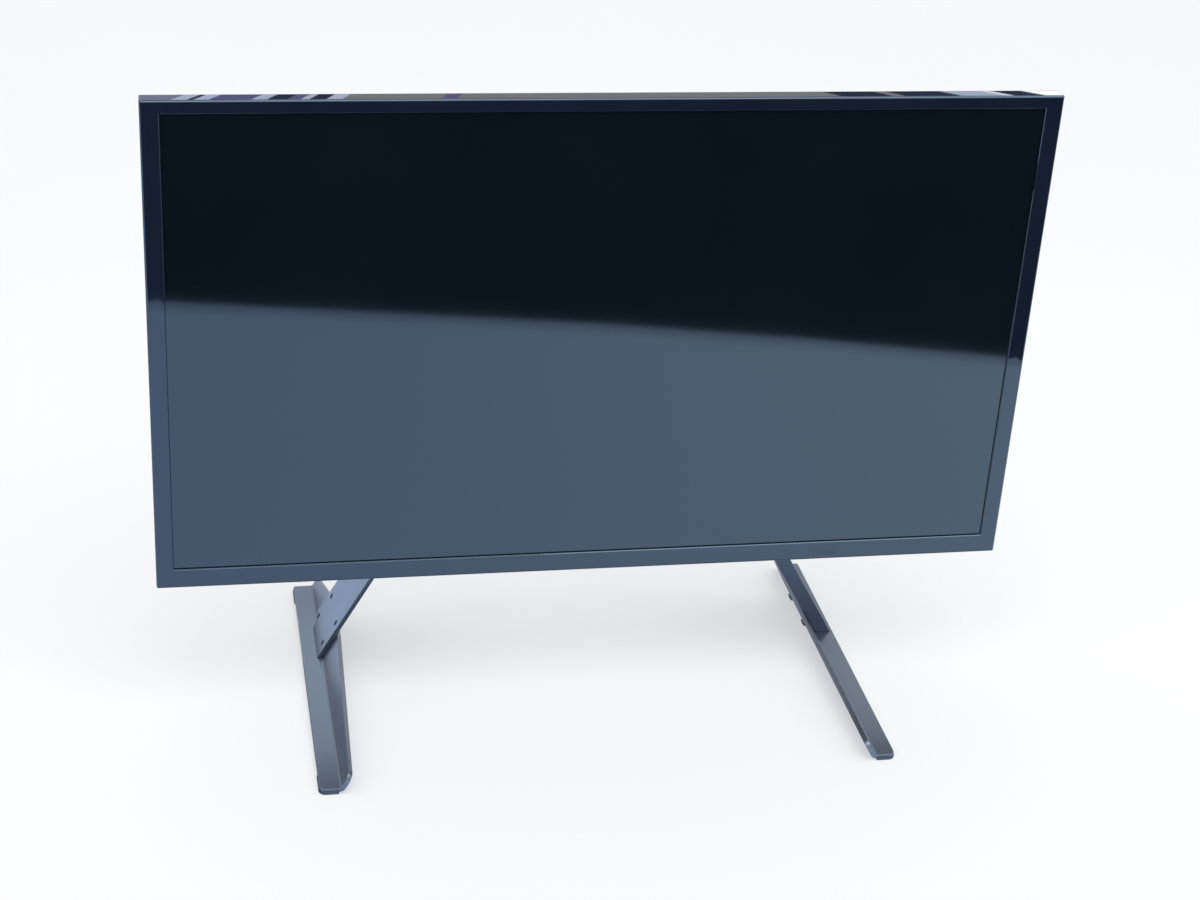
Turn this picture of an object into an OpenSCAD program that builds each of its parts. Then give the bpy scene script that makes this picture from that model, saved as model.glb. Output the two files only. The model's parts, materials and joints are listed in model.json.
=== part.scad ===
// Flat screen television standing on two splayed legs of folded steel.
// Millimetres, +Z up. The picture faces -Y, and the origin is on the floor under the middle of the feet.

/* [Screen] */
// Width of the visible picture
screen_w = 885.6; // [800:0.1:1000]
// Height of the visible picture
screen_h = 498.2; // [450:0.1:560]
// Bezel beside the picture
bezel_side = 18.5; // [18:0.1:30]
// Bezel above the picture
bezel_top = 13.5; // [12:0.1:30]
// Bezel below the picture
bezel_bottom = 22; // [20.5:0.1:40]
// Front wall of the bezel, which stands in front of the panel
bezel_lip = 2; // [1.5:0.1:3]
// Chamfer round the front edge of the bezel
bezel_chamfer = 1.5; // [0.5:0.1:2]
// Radius of the lower corners of the set
corner_low_r = 3; // [2:0.5:6]
// Radius of the upper corners of the set
corner_top_r = 1.5; // [1:0.5:6]
// How far the panel reaches under the bezel
panel_over = 5; // [4:0.1:5.4]
// Thickness of the panel
panel_t = 2.2; // [1.5:0.1:3]
// Thickness of the foam gasket
gasket_t = 0.5; // [0.3:0.1:1]

/* [Backlight] */
// Ledge of the mid frame, behind the panel
ledge_t = 2; // [1.5:0.1:3]
// Thickness of the diffuser
diffuser_t = 1.5; // [1:0.1:2]
// Thickness of the light guide
guide_t = 3; // [2:0.1:4]
// Thickness of the reflector
reflector_t = 0.3; // [0.2:0.1:0.5]
// Steel of the backlight chassis
chassis_t = 1; // [0.8:0.1:1.5]
// Number of lamps in the strip
led_count = 40; // [20:1:60]

/* [Case] */
// Depth of the front frame
frame_depth = 17; // [16:0.5:20]
// Depth of the set at its slim edge
slim_depth = 36; // [34:0.5:42]
// Depth of the whole set
case_depth = 56; // [54:0.5:70]
// Wall of the mouldings
wall = 2.5; // [2:0.1:2.8]
// Width of the slim strip beside the thick part of the back
strip_w = 45; // [35:1:60]
// How far the sides of the back lean in
edge_lean = 20; // [15:1:30]
// How far the underside of the back rises
base_rise = 20; // [12:1:24]

/* [Boards] */
// Thickness of the circuit boards
board_t = 1.6; // [1:0.1:2]
// Height of the posts under the boards
post_h = 5.5; // [4:0.5:7]
// Width of the main board and of the power board
board_w = 190; // [160:1:195]
// Height of the main board
main_h = 180; // [160:1:190]
// Height of the power board
power_h = 170; // [140:1:185]
// Width of the timing board
tcon_w = 130; // [100:1:150]
// Height of the timing board
tcon_h = 60; // [45:1:62]

/* [Buttons] */
// Width of a button
button_w = 12; // [9:0.5:16]
// Height of a button
button_h = 8; // [6:0.5:10]
// Distance between the buttons
button_pitch = 14; // [12.5:0.5:18]
// Travel of a button
button_travel = 1; // [0.5:0.1:1.5]

/* [Fixings] */
// Distance between the wall-mount holes, both ways
vesa = 200; // [190:5:220]
// Distance between the pedestal holes, across
neck_w = 80; // [60:5:100]
// Distance between the pedestal holes, upwards
neck_h = 30; // [20:1:34]

/* [Stand] */
// Height of the underside of the set above the floor
stand_clear = 142; // [130:1:170]
// Length of the feet
foot_len = 402; // [360:1:480]
// How far the feet reach in front of the bezel
foot_reach = 184; // [160:1:200]
// Lean of the uprights from the vertical
splay = 30; // [27:0.5:32]
// Half of the distance between the folds of the two feet
fold_x = 284; // [275:1:300]
// Steel of the stand
steel_t = 5; // [3:0.5:6]
// Inner radius of the folds
fold_r = 3; // [2:0.5:4]
// Width of the flat part of a foot
flat_w = 21.5; // [18:0.5:30]
// Height of a foot's raised flange beside the upright
flange_h = 33; // [28:1:40]
// Height of the raised flange at the rear end
flange_rear_h = 12; // [8:1:20]
// Height of the raised flange at the front end
flange_front_h = 17; // [12:1:24]
// Depth of an upright
upright_d = 81; // [74:1:100]
// Length of an upright along its lean
upright_len = 330; // [320:1:336]
// Width of the narrow flange of an upright
upright_lip = 16; // [12:1:22]
// Distance between the upright's holes, front to back
hole_pitch_y = 57; // [50:1:60]
// Distance between the upright's holes, along its length
hole_pitch_s = 29; // [24:1:34]
// Distance from an upright's end to its first holes
hole_edge = 10.7; // [9.5:0.1:14]
// Thread diameter of the stand's bolts
bolt_d = 6; // [5:0.5:6.5]
// Thickness of the rubber pads
pad_t = 2; // [1.5:0.5:5]

/* [Hidden] */
$fn = 48;

// Clearances
fit = 0.1;
slack = 0.2;
gap = 0.3;
past = 1;

// Outline of the set
tv_w = screen_w + 2 * bezel_side;
tv_x = tv_w / 2;
tv_h = screen_h + bezel_top + bezel_bottom;
z_low = stand_clear;
z_top = z_low + tv_h;
z_pic = z_low + bezel_bottom;
z_mid = z_pic + screen_h / 2;

// Layers behind the face of the bezel
y_face = foot_reach - foot_len / 2;
y_gasket = y_face + bezel_lip;
y_panel = y_gasket + gasket_t;
y_ledge = y_panel + panel_t;
y_sheet = y_ledge + ledge_t;
y_guide = y_sheet + diffuser_t;
y_reflector = y_guide + guide_t;
y_pan = y_reflector + reflector_t;
y_behind = y_pan + chassis_t;
y_rim = y_face + frame_depth;
y_slim = y_face + slim_depth;
y_back = y_face + case_depth;
y_board = y_behind + post_h;
y_parts = y_board + board_t;

// Panel surround
gasket_in = 1.5;
ledge_in = 1;
mid_in = panel_over + slack;
mid_t = 1.8;
mid_out = mid_in + mid_t;
guide_over = 2.3;
led_board_t = 1.2;
led_h = mid_in - guide_over - led_board_t - slack;
led_w = 5;

// Screws and bosses of the case
boss_r = 4;
boss_root = 0.5;
boss_in = wall + boss_r - boss_root;
boss_bore_r = 1.55;
screw_r = 1.45;
cover_shelf = 2.5;
cover_pad_r = 5.2;
cover_well_r = 4.2;
cover_head_r = 3.6;
cover_head_h = 2.4;
cover_screw_l = 11;
chassis_head_r = 3.2;
chassis_head_h = 2;
chassis_screw_l = 8;
boss_far_in = 101.3;
boss_step = 240;
boss_mid_step = 160;
boss_far_x = tv_x - boss_far_in;
boss_near_x = boss_far_x - boss_step;
boss_mid_x = boss_far_x - boss_mid_step;
boss_end_z = 60;
boss_side_z = 120;
cover_points = concat(
    [for (s = [-1, 1], z = [z_low + boss_end_z, z_mid, z_top - boss_end_z]) [s * (tv_x - boss_in), z]],
    [for (x = [-boss_far_x, -boss_near_x, boss_near_x, boss_far_x]) [x, z_low + boss_in]]
);
chassis_points = concat(
    [for (s = [-1, 1], t = [-1, 1]) [s * (tv_x - boss_in), z_mid + t * boss_side_z]],
    [for (s = [-1, 1]) [s * boss_mid_x, z_low + boss_in]]
);

// Thick part of the back
bulge_over = 32;
bulge_x = tv_x - strip_w - 2 * edge_lean;
bulge_z = z_mid + vesa / 2 + bulge_over;
vent_count = 28;
vent_pitch = 18;
vent_w = 4;
vent_h = 26;
vent_gap = 9;

// Receiver for the remote control
ir_in = 198.3;
ir_x = tv_x - ir_in;
ir_w = 26;
ir_h = 4;
ir_rise = 8.5;
ir_z = z_low + ir_rise;
ir_rim = 1.5;
ir_rim_t = 1;
ir_sensor_l = 4;
ir_board_w = 60;
ir_board_h = 10;
ir_board_t = 1.2;

// Boards on the chassis, as left, low, width and height
board_in = 124;
main_drop = 105;
power_drop = 83;
tcon_rise = 84;
main_box = [board_in, z_mid - main_drop, board_w, main_h];
power_box = [-board_in - board_w, z_mid - power_drop, board_w, power_h];
tcon_box = [-tcon_w / 2, z_low + tcon_rise, tcon_w, tcon_h];
board_boxes = [main_box, power_box, tcon_box];
post_r = 3;
post_edge = 6;
post_bore_r = 1.25;
board_hole_r = 1.6;
board_screw_r = 1.15;
board_head_r = 2.8;
board_head_h = 2;
board_bite = 4;

// Chips, coolers and coils on the boards, each chip as width, height and thickness
soc_drop = 45;
soc_x = main_box[0] + board_w / 2;
soc_z = main_box[1] + main_h - soc_drop;
soc_w = 27;
soc_t = 2.2;
memory_chip = [12, 14, 1.4];
memory_out = 34;
choke_chip = [14, 12, 4];
choke_in = 30;
choke_rise = 104;
choke_pitch = 22;
filter_chip = [22, 30, 16];
filter_in = 30;
filter_rise = 40;
relay_chip = [30, 18, 12];
relay_in = 120;
diode_chip = [10, 12, 9];
diode_in = 30;
diode_drop = 18;
diode_pitch = 30;
timing_chip = [16, 16, 1.6];
cooler_w = 40;
cooler_base = 3;
cooler_fins = 9;
cooler_fin_t = 1.5;
cooler_fin_h = 10;
coil_in = 62;
coil_drop = 60;
coil_x = power_box[0] + coil_in;
coil_z = power_box[1] + power_h - coil_drop;
coil_w = 44;
coil_h = 38;
coil_t = 26;
bobbin = 8;
cap_r = 11;
cap_h = 28;
cap_in = 50;
cap_drop = 80;
cap_x = power_box[0] + board_w - cap_in;
cap_z = power_box[1] + power_h - cap_drop;
cap_pitch = 28;

// Speakers
speaker_w = 170;
speaker_h = 46;
speaker_d = 34;
speaker_in = 46.3;
speaker_x = bulge_x - speaker_in - speaker_w;
speaker_rise = 30;
speaker_z = z_low + speaker_rise;
speaker_wall = 2;
driver_w = 84;
driver_d = 30;
driver_t = 2;
cone_r = 12;
cone_h = 8;
cone_t = 1.2;
cone_clear = 2;
magnet_h = 9;
driver_x = speaker_x + speaker_w / 2;
driver_y = y_behind + speaker_d / 2;
slot_count = 12;
slot_pitch = 7;
slot_w = 3;

// Terminals
window_w = 150;
window_h = 55;
window_x = main_box[0] + board_w / 2;
window_rise = 50;
window_z = main_box[1] + window_rise;
tray_t = 1.5;
tray_rim = 3;
tray_depth = 24;
y_tray = y_back - tray_depth;
socket_proud = 0.8;
y_socket = y_tray + tray_t + socket_proud;
hdmi_w = 15;
hdmi_h = 6;
hdmi_out = 55;
hdmi_pitch = 25;
hdmi_xs = [window_x - hdmi_out, window_x - hdmi_out + hdmi_pitch];
usb_w = 13.4;
usb_h = 6.6;
usb_out = 6;
usb_x = window_x - usb_out;
socket_skin = 0.5;
socket_bottom = 3;
tongue_t = 1;
jack_out = 16;
jack_x = window_x + jack_out;
jack_w = 9;
jack_r = 1.8;
antenna_out = 42;
antenna_x = window_x + antenna_out;
antenna_r = 4.75;
antenna_bore_r = 1;
antenna_proud = 9;
tuner_w = 34;
tuner_h = 24;
tuner_t = 9;

// Mains inlet
inlet_in = 84;
inlet_drop = 27;
inlet_x = power_box[0] + inlet_in;
inlet_z = power_box[1] - inlet_drop;
inlet_w = 24;
inlet_h = 16;
inlet_l = 22;
inlet_floor = 6;
socket_w = 16;
socket_h = 9;
pin_r = 1.2;
pin_pitch = 8.6;
pin_short = 3;
pin_tail = 3;
lead_r = 1.4;
plug_w = 18;
plug_h = 12;
plug_t = 8;

// Wiring
ribbon_w = 20;
ribbon_t = 0.4;
ribbon_lift = 2;
ribbon_plug = 8;
ribbon_plug_t = 5;
ribbon_in = 26;
ribbon_x = main_box[0] + ribbon_in;
ribbon_z = tcon_box[1] + tcon_h / 2;
harness_r = 3;
harness_rise = 20;
harness_z = z_mid + harness_rise;
harness_plug = 12;
led_cable_r = 2;
led_plug_in = 20;
led_cable_out = 10;
led_plug_x = power_box[0] + led_plug_in;
led_cable_x = -speaker_x - speaker_w - led_cable_out;
led_z = z_pic - mid_in + led_board_t / 2;
speaker_lead_r = 1.5;
speaker_lead_drop = 83;
speaker_lead_in = 6;
speaker_lead_over = 16;
speaker_entry = 30;
speaker_lead_z = z_mid - speaker_lead_drop;
speaker_drop_x = -board_in + speaker_lead_in;
speaker_turn_z = speaker_z + speaker_h + speaker_lead_over;
speaker_in_x = speaker_x + speaker_entry;
lead_plug = 8;

// Buttons and their board
button_names = ["power", "home", "input", "volume_up", "volume_down", "channel_up", "channel_down"];
button_x = tv_x - edge_lean - strip_w / 2;
button_drop = 60;
button_z = z_mid - button_drop;
button_mid = (len(button_names) - 1) / 2;
button_proud = 1.2;
button_rim = 1.5;
button_rim_t = 1;
button_rod_r = 1.5;
button_rod_l = 2;
switch_h = 3.5;
switch_w = 6;
y_button_rim = y_slim - wall - gap;
y_switch = y_button_rim - button_rim_t - button_rod_l - button_travel - slack;
y_keys = y_switch - switch_h - board_t;
key_half_h = button_pitch * button_mid + button_h / 2 + button_rim + gap;
key_edge = 1;
key_boss_z = key_half_h + post_r + key_edge;
key_board_h = 2 * (key_boss_z + post_r + key_edge);
key_board_w = 20;

// Wall-mount columns, pedestal columns and rails
standoff_r = 6;
standoff_bore_l = 22;
neck_r = 5;
neck_bore_r = 2;
neck_bore_l = 15;
neck_rise = 50;
neck_z = z_low + neck_rise;
bolt_r = bolt_d / 2;
shank_r = bolt_r - fit;
hole_r = bolt_r + gap;
// Usual proportions of a button-head bolt
head_r = bolt_d * 0.83;
head_h = bolt_d * 0.55;
socket_r = bolt_d * 0.36;
socket_l = bolt_d * 0.3;

vesa_bolt_l = 18;
bolt_end_in = 1.5;
rail_w = 30;
rail_end = 20;
gusset_w = 40;
ear_end = 4;
ear_below = 14;
ear_len = hole_edge + hole_pitch_s + ear_below - ear_end;
vesa_points = [for (sx = [-1, 1], sz = [-1, 1]) [sx * vesa / 2, z_mid + sz * vesa / 2]];
neck_points = [for (sx = [-1, 1], sz = [-1, 1]) [sx * neck_w / 2, neck_z + sz * neck_h / 2]];

// Legs, whose own frame has X out of the upright, Y to the back and Z along its lean
y_upright = y_back + steel_t + past;
y_holes = y_upright + (upright_d - hole_pitch_y) / 2;
foot_top = pad_t + steel_t;
fold_turn = fold_r * (1 - sin(splay)) / cos(splay);
foot_half = foot_len / 2;
flange_rise = 76;
flange_corner_r = 10;
foot_corner_r = 7;
foot_heel_r = 3;
heel_cut_y = 17;
heel_cut_s = 6.5;
hole_ys = [y_holes, y_holes + hole_pitch_y];
upright_base = fold_r / cos(splay);
pad_l = 30;
pad_rim = 0.8;
pad_lap = 2;

function row(box, i) = [box[0] + (i % 2 == 0 ? post_edge : box[2] - post_edge),
                        box[1] + (i < 2 ? post_edge : box[3] - post_edge)];
// A point in X and Z on the right leg, s along its lean and d out of it
function leg_point(s, d) = [fold_x - s * sin(splay) + d * cos(splay),
                            foot_top + s * cos(splay) + d * sin(splay)];
function arc(cx, cy, r, a0, a1, n = 8) = [for (i = [0:n])
    [cx + r * cos(a0 + (a1 - a0) * i / n), cy + r * sin(a0 + (a1 - a0) * i / n)]];
board_points = [for (box = board_boxes, i = [0:3]) row(box, i)];
key_points = [for (s = [-1, 1]) [button_x, button_z + s * key_boss_z]];

// Helpers

module block(low, high) {
    translate(low) cube(high - low);
}

// A shape drawn in X and Z, t thick from y towards the back
module slab(y, t) {
    translate([0, y + t, 0]) rotate([90, 0, 0]) linear_extrude(t) children();
}

// A shape drawn in Y and Z, t thick from x to the right
module side_slab(x, t) {
    translate([x, 0, 0]) rotate([90, 0, 90]) linear_extrude(t) children();
}

// A round bar along Y from y, l long
module bar(p, y, l, r) {
    translate([p[0], y + l, p[1]]) rotate([90, 0, 0]) cylinder(h = l, r = r);
}

// A round wire through a list of points, with ball joints at its corners
module wire(points, r) {
    for (i = [0:len(points) - 2]) {
        v = points[i + 1] - points[i];
        translate(points[i])
            rotate([0, acos(v[2] / norm(v)), atan2(v[1], v[0])]) cylinder(h = norm(v), r = r);
        if (i > 0) translate(points[i]) sphere(r = r);
    }
}

// The picture's rectangle, grown by g
module picture(g) {
    translate([-screen_w / 2 - g, z_pic - g]) square([screen_w + 2 * g, screen_h + 2 * g]);
}

module picture_frame(outer, inner) {
    difference() {
        picture(outer);
        picture(inner);
    }
}

module corner_bite(x, z, sx, sz, r) {
    difference() {
        translate([min(x, x - sx * r), min(z, z + sz * r)]) square(r);
        translate([x - sx * r, z + sz * r]) circle(r);
    }
}

module set_outline() {
    difference() {
        translate([-tv_x, z_low]) square([tv_w, tv_h]);
        for (s = [-1, 1]) {
            corner_bite(s * tv_x, z_low, s, 1, corner_low_r);
            corner_bite(s * tv_x, z_top, s, -1, corner_top_r);
        }
    }
}

// A screw with a plain round head, pointing to the front
module screw(p, y, hr, hh, r, l) {
    bar(p, y, hh, hr);
    bar(p, y - l, l + hh / 2, r);
}

// A domed bolt along X, head towards -X and seated at x = 0
module dome_bolt(l) {
    difference() {
        rotate([0, 90, 0]) rotate_extrude() polygon(concat(
            [[0, l], [shank_r, l], [shank_r, 0], [head_r, 0]],
            [for (a = [0:10:90]) [head_r * cos(a), -head_h * 0.3 - head_h * 0.7 * sin(a)]]
        ));
        translate([-head_h - past, 0, 0])
            rotate([0, 90, 0]) cylinder(h = socket_l + past, r = socket_r, $fn = 6);
    }
}

// Screen and backlight

module bezel_block() {
    c = bezel_chamfer;
    intersection() {
        slab(y_face, frame_depth) set_outline();
        side_slab(-tv_x, tv_w) polygon([
            [y_face, z_low + c], [y_face + c, z_low], [y_rim, z_low],
            [y_rim, z_top], [y_face + c, z_top], [y_face, z_top - c]
        ]);
        translate([0, 0, z_low]) linear_extrude(tv_h) polygon([
            [-tv_x + c, y_face], [tv_x - c, y_face], [tv_x, y_face + c],
            [tv_x, y_rim], [-tv_x, y_rim], [-tv_x, y_face + c]
        ]);
    }
}

module front_bezel() {
    root = bezel_lip / 2;
    color([0.03, 0.035, 0.045]) difference() {
        union() {
            difference() {
                bezel_block();
                slab(y_gasket, frame_depth)
                    translate([-tv_x + wall, z_low + wall]) square([tv_w - 2 * wall, tv_h - 2 * wall]);
            }
            for (p = cover_points) bar(p, y_face + root, frame_depth - root, boss_r);
            for (p = chassis_points) bar(p, y_face + root, y_pan - y_face - root, boss_r);
        }
        slab(y_face - past, bezel_lip + 2 * past) picture(0);
        slab(y_face - past, bezel_lip + 2 * past) ir_slot(0);
        for (p = cover_points) bar(p, y_rim - cover_screw_l, cover_screw_l + past, boss_bore_r);
        for (p = chassis_points) bar(p, y_pan - chassis_screw_l, chassis_screw_l + past, boss_bore_r);
    }
}

module ir_slot(inset) {
    w = ir_w - 2 * inset;
    h = ir_h - 2 * inset;
    translate([ir_x - w / 2, ir_z - h / 2]) square([w, h]);
}

module ir_window() {
    color([0.05, 0.02, 0.03]) {
        slab(y_face + fit, bezel_lip - fit) ir_slot(fit);
        slab(y_gasket, ir_rim_t) ir_slot(-ir_rim);
    }
}

module panel_gasket() {
    color([0.15, 0.15, 0.15]) slab(y_gasket, gasket_t) picture_frame(panel_over, gasket_in);
}

module lcd_panel() {
    color([0.05, 0.07, 0.1]) slab(y_panel, panel_t) picture(panel_over);
}

module mid_frame() {
    color([0.1, 0.1, 0.1]) {
        slab(y_ledge, ledge_t) picture_frame(mid_out, ledge_in);
        slab(y_gasket + gap, y_pan - y_gasket - gap) picture_frame(mid_out, mid_in);
    }
}

module diffuser_sheet() {
    color([0.95, 0.95, 0.95]) slab(y_sheet, diffuser_t) picture(guide_over);
}

module light_guide_plate() {
    color([0.85, 0.92, 0.95]) slab(y_guide, guide_t) picture(guide_over);
}

module reflector_sheet() {
    color([1, 1, 1]) slab(y_reflector, reflector_t) picture(guide_over);
}

module led_bar() {
    step = screen_w / led_count;
    base = z_pic - mid_in;
    color([0.9, 0.9, 0.8]) {
        block([-screen_w / 2, y_sheet + gap, base], [screen_w / 2, y_pan - fit, base + led_board_t]);
        for (i = [0:led_count - 1]) translate([-screen_w / 2 + step * (i + 0.5), y_guide, base])
            block([-led_w / 2, 0, 0], [led_w / 2, guide_t, led_board_t + led_h]);
    }
}

module backlight_chassis() {
    color([0.7, 0.72, 0.73]) difference() {
        union() {
            slab(y_pan, chassis_t) translate([-tv_x + wall + gap, z_low + wall + gap])
                square([tv_w - 2 * (wall + gap), tv_h - 2 * (wall + gap)]);
            for (p = board_points) bar(p, y_pan, chassis_t + post_h, post_r);
        }
        for (p = cover_points) bar(p, y_pan - past, chassis_t + 2 * past, boss_r + gap);
        for (p = chassis_points) bar(p, y_pan - past, chassis_t + 2 * past, boss_bore_r + gap);
        for (p = board_points) bar(p, y_behind, post_h + past, post_bore_r);
        bar([led_cable_x, led_z], y_pan - past, chassis_t + 2 * past, led_cable_r + gap);
    }
}

module chassis_screws() {
    color([0.6, 0.6, 0.62]) for (p = chassis_points)
        screw(p, y_behind, chassis_head_r, chassis_head_h, screw_r, chassis_t + chassis_screw_l - past);
}

// Back of the case

// The shell's form, drawn in by g
module cover_form(g) {
    y0 = y_rim - (g > 0 ? past : 0);
    intersection() {
        slab(y0, y_back - y0) set_outline();
        side_slab(-tv_x, tv_w) polygon([
            [y0, z_low + g], [y0, z_top - g], [y_rim, z_top - g], [y_slim - g, z_top - edge_lean - g],
            [y_slim - g, bulge_z + edge_lean - g], [y_back - g, bulge_z - g],
            [y_back - g, z_low + base_rise + g], [y_rim, z_low + g]
        ]);
        translate([0, 0, z_low]) linear_extrude(tv_h) polygon(concat(
            [for (s = [-1, 1]) [s * (tv_x - g), y0]],
            [[tv_x - g, y_rim], [tv_x - edge_lean - g, y_slim - g], [bulge_x + edge_lean - g, y_slim - g]],
            [for (s = [1, -1]) [s * (bulge_x - g), y_back - g]],
            [[-bulge_x - edge_lean + g, y_slim - g], [-tv_x + edge_lean + g, y_slim - g], [-tv_x + g, y_rim]]
        ));
    }
}

module vents() {
    low = bulge_z + edge_lean + vent_gap;
    for (r = [0:1], i = [0:vent_count - 1])
        translate([(i - (vent_count - 1) / 2) * vent_pitch, 0, low + r * (vent_h + vent_gap)])
            block([-vent_w / 2, y_slim - wall - past, 0], [vent_w / 2, y_slim + past, vent_h]);
}

module speaker_slots() {
    for (s = [-1, 1], i = [0:slot_count - 1])
        translate([s * driver_x + (i - (slot_count - 1) / 2) * slot_pitch, driver_y, z_low])
            block([-slot_w / 2, -driver_d / 2, -past],
                  [slot_w / 2, driver_d / 2, speaker_rise - driver_t]);
}

module button_hole(i) {
    translate([button_x, 0, button_z + (button_mid - i) * button_pitch])
        block([-button_w / 2 - gap, y_slim - wall - past, -button_h / 2 - gap],
              [button_w / 2 + gap, y_slim + past, button_h / 2 + gap]);
}

module rear_cover() {
    color([0.06, 0.06, 0.065]) difference() {
        union() {
            difference() {
                cover_form(0);
                cover_form(wall);
            }
            intersection() {
                cover_form(0);
                for (p = cover_points) bar(p, y_rim, case_depth, cover_pad_r);
            }
            for (p = key_points) bar(p, y_keys + board_t, y_slim - wall / 2 - y_keys - board_t, post_r);
        }
        for (p = cover_points) {
            bar(p, y_rim + cover_shelf, case_depth, cover_well_r);
            bar(p, y_rim - past, case_depth, screw_r + gap);
        }
        for (p = key_points) bar(p, y_keys, board_t + board_bite + past, post_bore_r);
        for (p = vesa_points) bar(p, y_back - wall - past, wall + 2 * past, standoff_r + gap);
        for (p = neck_points) bar(p, y_back - wall - past, wall + 2 * past, neck_r + gap);
        for (i = [0:len(button_names) - 1]) button_hole(i);
        slab(y_back - wall - past, wall + 2 * past) window_shape(0);
        slab(y_back - wall - past, wall + 2 * past) inlet_shape(-gap);
        vents();
        speaker_slots();
    }
}

module cover_screws() {
    color([0.1, 0.1, 0.1]) for (p = cover_points)
        screw(p, y_rim + cover_shelf, cover_head_r, cover_head_h, screw_r,
              cover_shelf + cover_screw_l - past);
}

// Boards

module board(box) {
    difference() {
        slab(y_board, board_t) translate([box[0], box[1]]) square([box[2], box[3]]);
        for (i = [0:3]) bar(row(box, i), y_board - past, board_t + 2 * past, board_hole_r);
    }
}

// A part on a board at x and z, its size given as width, height and thickness
module chip(x, z, size) {
    translate([x, y_parts, z]) block([-size[0] / 2, 0, -size[1] / 2], [size[0] / 2, size[2], size[1] / 2]);
}

module main_board() {
    color([0.05, 0.3, 0.15]) {
        board(main_box);
        chip(soc_x, soc_z, [soc_w, soc_w, soc_t]);
        for (s = [-1, 1]) chip(soc_x + s * memory_out, soc_z, memory_chip);
        for (i = [0:2]) chip(main_box[0] + choke_in + i * choke_pitch, main_box[1] + choke_rise, choke_chip);
    }
}

module main_heatsink() {
    step = (cooler_w - cooler_fin_t) / (cooler_fins - 1);
    y0 = y_parts + soc_t;
    color([0.75, 0.76, 0.78]) translate([soc_x - cooler_w / 2, y0, soc_z - cooler_w / 2]) {
        cube([cooler_w, cooler_base, cooler_w]);
        for (i = [0:cooler_fins - 1])
            translate([i * step, 0, 0]) cube([cooler_fin_t, cooler_base + cooler_fin_h, cooler_w]);
    }
}

module power_board() {
    color([0.45, 0.35, 0.12]) {
        board(power_box);
        chip(power_box[0] + filter_in, power_box[1] + filter_rise, filter_chip);
        chip(power_box[0] + relay_in, power_box[1] + filter_rise, relay_chip);
        for (i = [0:3]) chip(power_box[0] + diode_in + i * diode_pitch,
                             power_box[1] + power_h - diode_drop, diode_chip);
    }
}

module power_transformer() {
    color([0.75, 0.6, 0.1]) {
        chip(coil_x, coil_z, [coil_w, coil_h, coil_t]);
        chip(coil_x, coil_z, [coil_w - 2 * bobbin, coil_h + bobbin, coil_t - bobbin]);
    }
}

module bulk_capacitors() {
    color([0.12, 0.12, 0.2]) for (i = [0:1]) bar([cap_x, cap_z + i * cap_pitch], y_parts, cap_h, cap_r);
}

module tcon_board() {
    color([0.05, 0.25, 0.35]) {
        board(tcon_box);
        chip(0, ribbon_z, timing_chip);
    }
}

module ir_board() {
    y0 = y_gasket + ir_rim_t + fit;
    color([0.05, 0.3, 0.15]) {
        translate([ir_x, y0, ir_z]) block([-ir_h, 0, -ir_h / 2], [ir_h, ir_sensor_l, ir_h / 2]);
        translate([ir_x, y0 + ir_sensor_l, ir_z])
            block([-ir_board_w / 2, 0, -ir_board_h / 2], [ir_board_w / 2, ir_board_t, ir_board_h / 2]);
    }
}

module key_board() {
    color([0.05, 0.3, 0.15]) difference() {
        union() {
            translate([button_x, y_keys, button_z])
                block([-key_board_w / 2, 0, -key_board_h / 2], [key_board_w / 2, board_t, key_board_h / 2]);
            for (i = [-button_mid:button_mid]) translate([button_x, y_keys, button_z + i * button_pitch])
                block([-switch_w / 2, 0, -switch_w / 2], [switch_w / 2, board_t + switch_h, switch_w / 2]);
        }
        for (p = key_points) bar(p, y_keys - past, board_t + 2 * past, board_hole_r);
    }
}

module board_screws() {
    color([0.7, 0.7, 0.7]) {
        for (p = board_points)
            screw(p, y_parts, board_head_r, board_head_h, board_screw_r, board_t + board_bite);
        for (p = key_points) {
            bar(p, y_keys - board_head_h, board_head_h, board_head_r);
            bar(p, y_keys - board_head_h / 2, board_head_h / 2 + board_t + board_bite, board_screw_r);
        }
    }
}

// Speakers

module speaker_box() {
    low = [speaker_x, y_behind, speaker_z];
    size = [speaker_w, speaker_d, speaker_h];
    inset = [speaker_wall, speaker_wall, speaker_wall];
    color([0.08, 0.08, 0.08]) difference() {
        block(low, low + size);
        block(low + inset, low + size - inset);
        translate([driver_x, driver_y, speaker_z - past])
            cylinder(h = speaker_wall + 2 * past, r = cone_r + cone_clear);
    }
}

module speaker_driver() {
    half = driver_w / 2 - driver_d / 2;
    color([0.2, 0.2, 0.2]) translate([driver_x, driver_y, speaker_z - driver_t]) {
        linear_extrude(driver_t) difference() {
            union() {
                square([2 * half, driver_d], center = true);
                for (s = [-1, 1]) translate([s * half, 0]) circle(driver_d / 2);
            }
            circle(cone_r);
        }
        rotate_extrude() polygon([
            [cone_r + cone_t, 0], [cone_r + cone_t, cone_t], [cone_t, cone_h], [0, cone_h],
            [0, cone_h - cone_t], [cone_r, 0]
        ]);
        translate([0, 0, cone_h - cone_t]) cylinder(h = magnet_h, r = cone_r - 1);
    }
}

module speaker_box_right() { speaker_box(); }
module speaker_box_left() { mirror([1, 0, 0]) speaker_box(); }
module speaker_driver_right() { speaker_driver(); }
module speaker_driver_left() { mirror([1, 0, 0]) speaker_driver(); }

// Wiring

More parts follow.
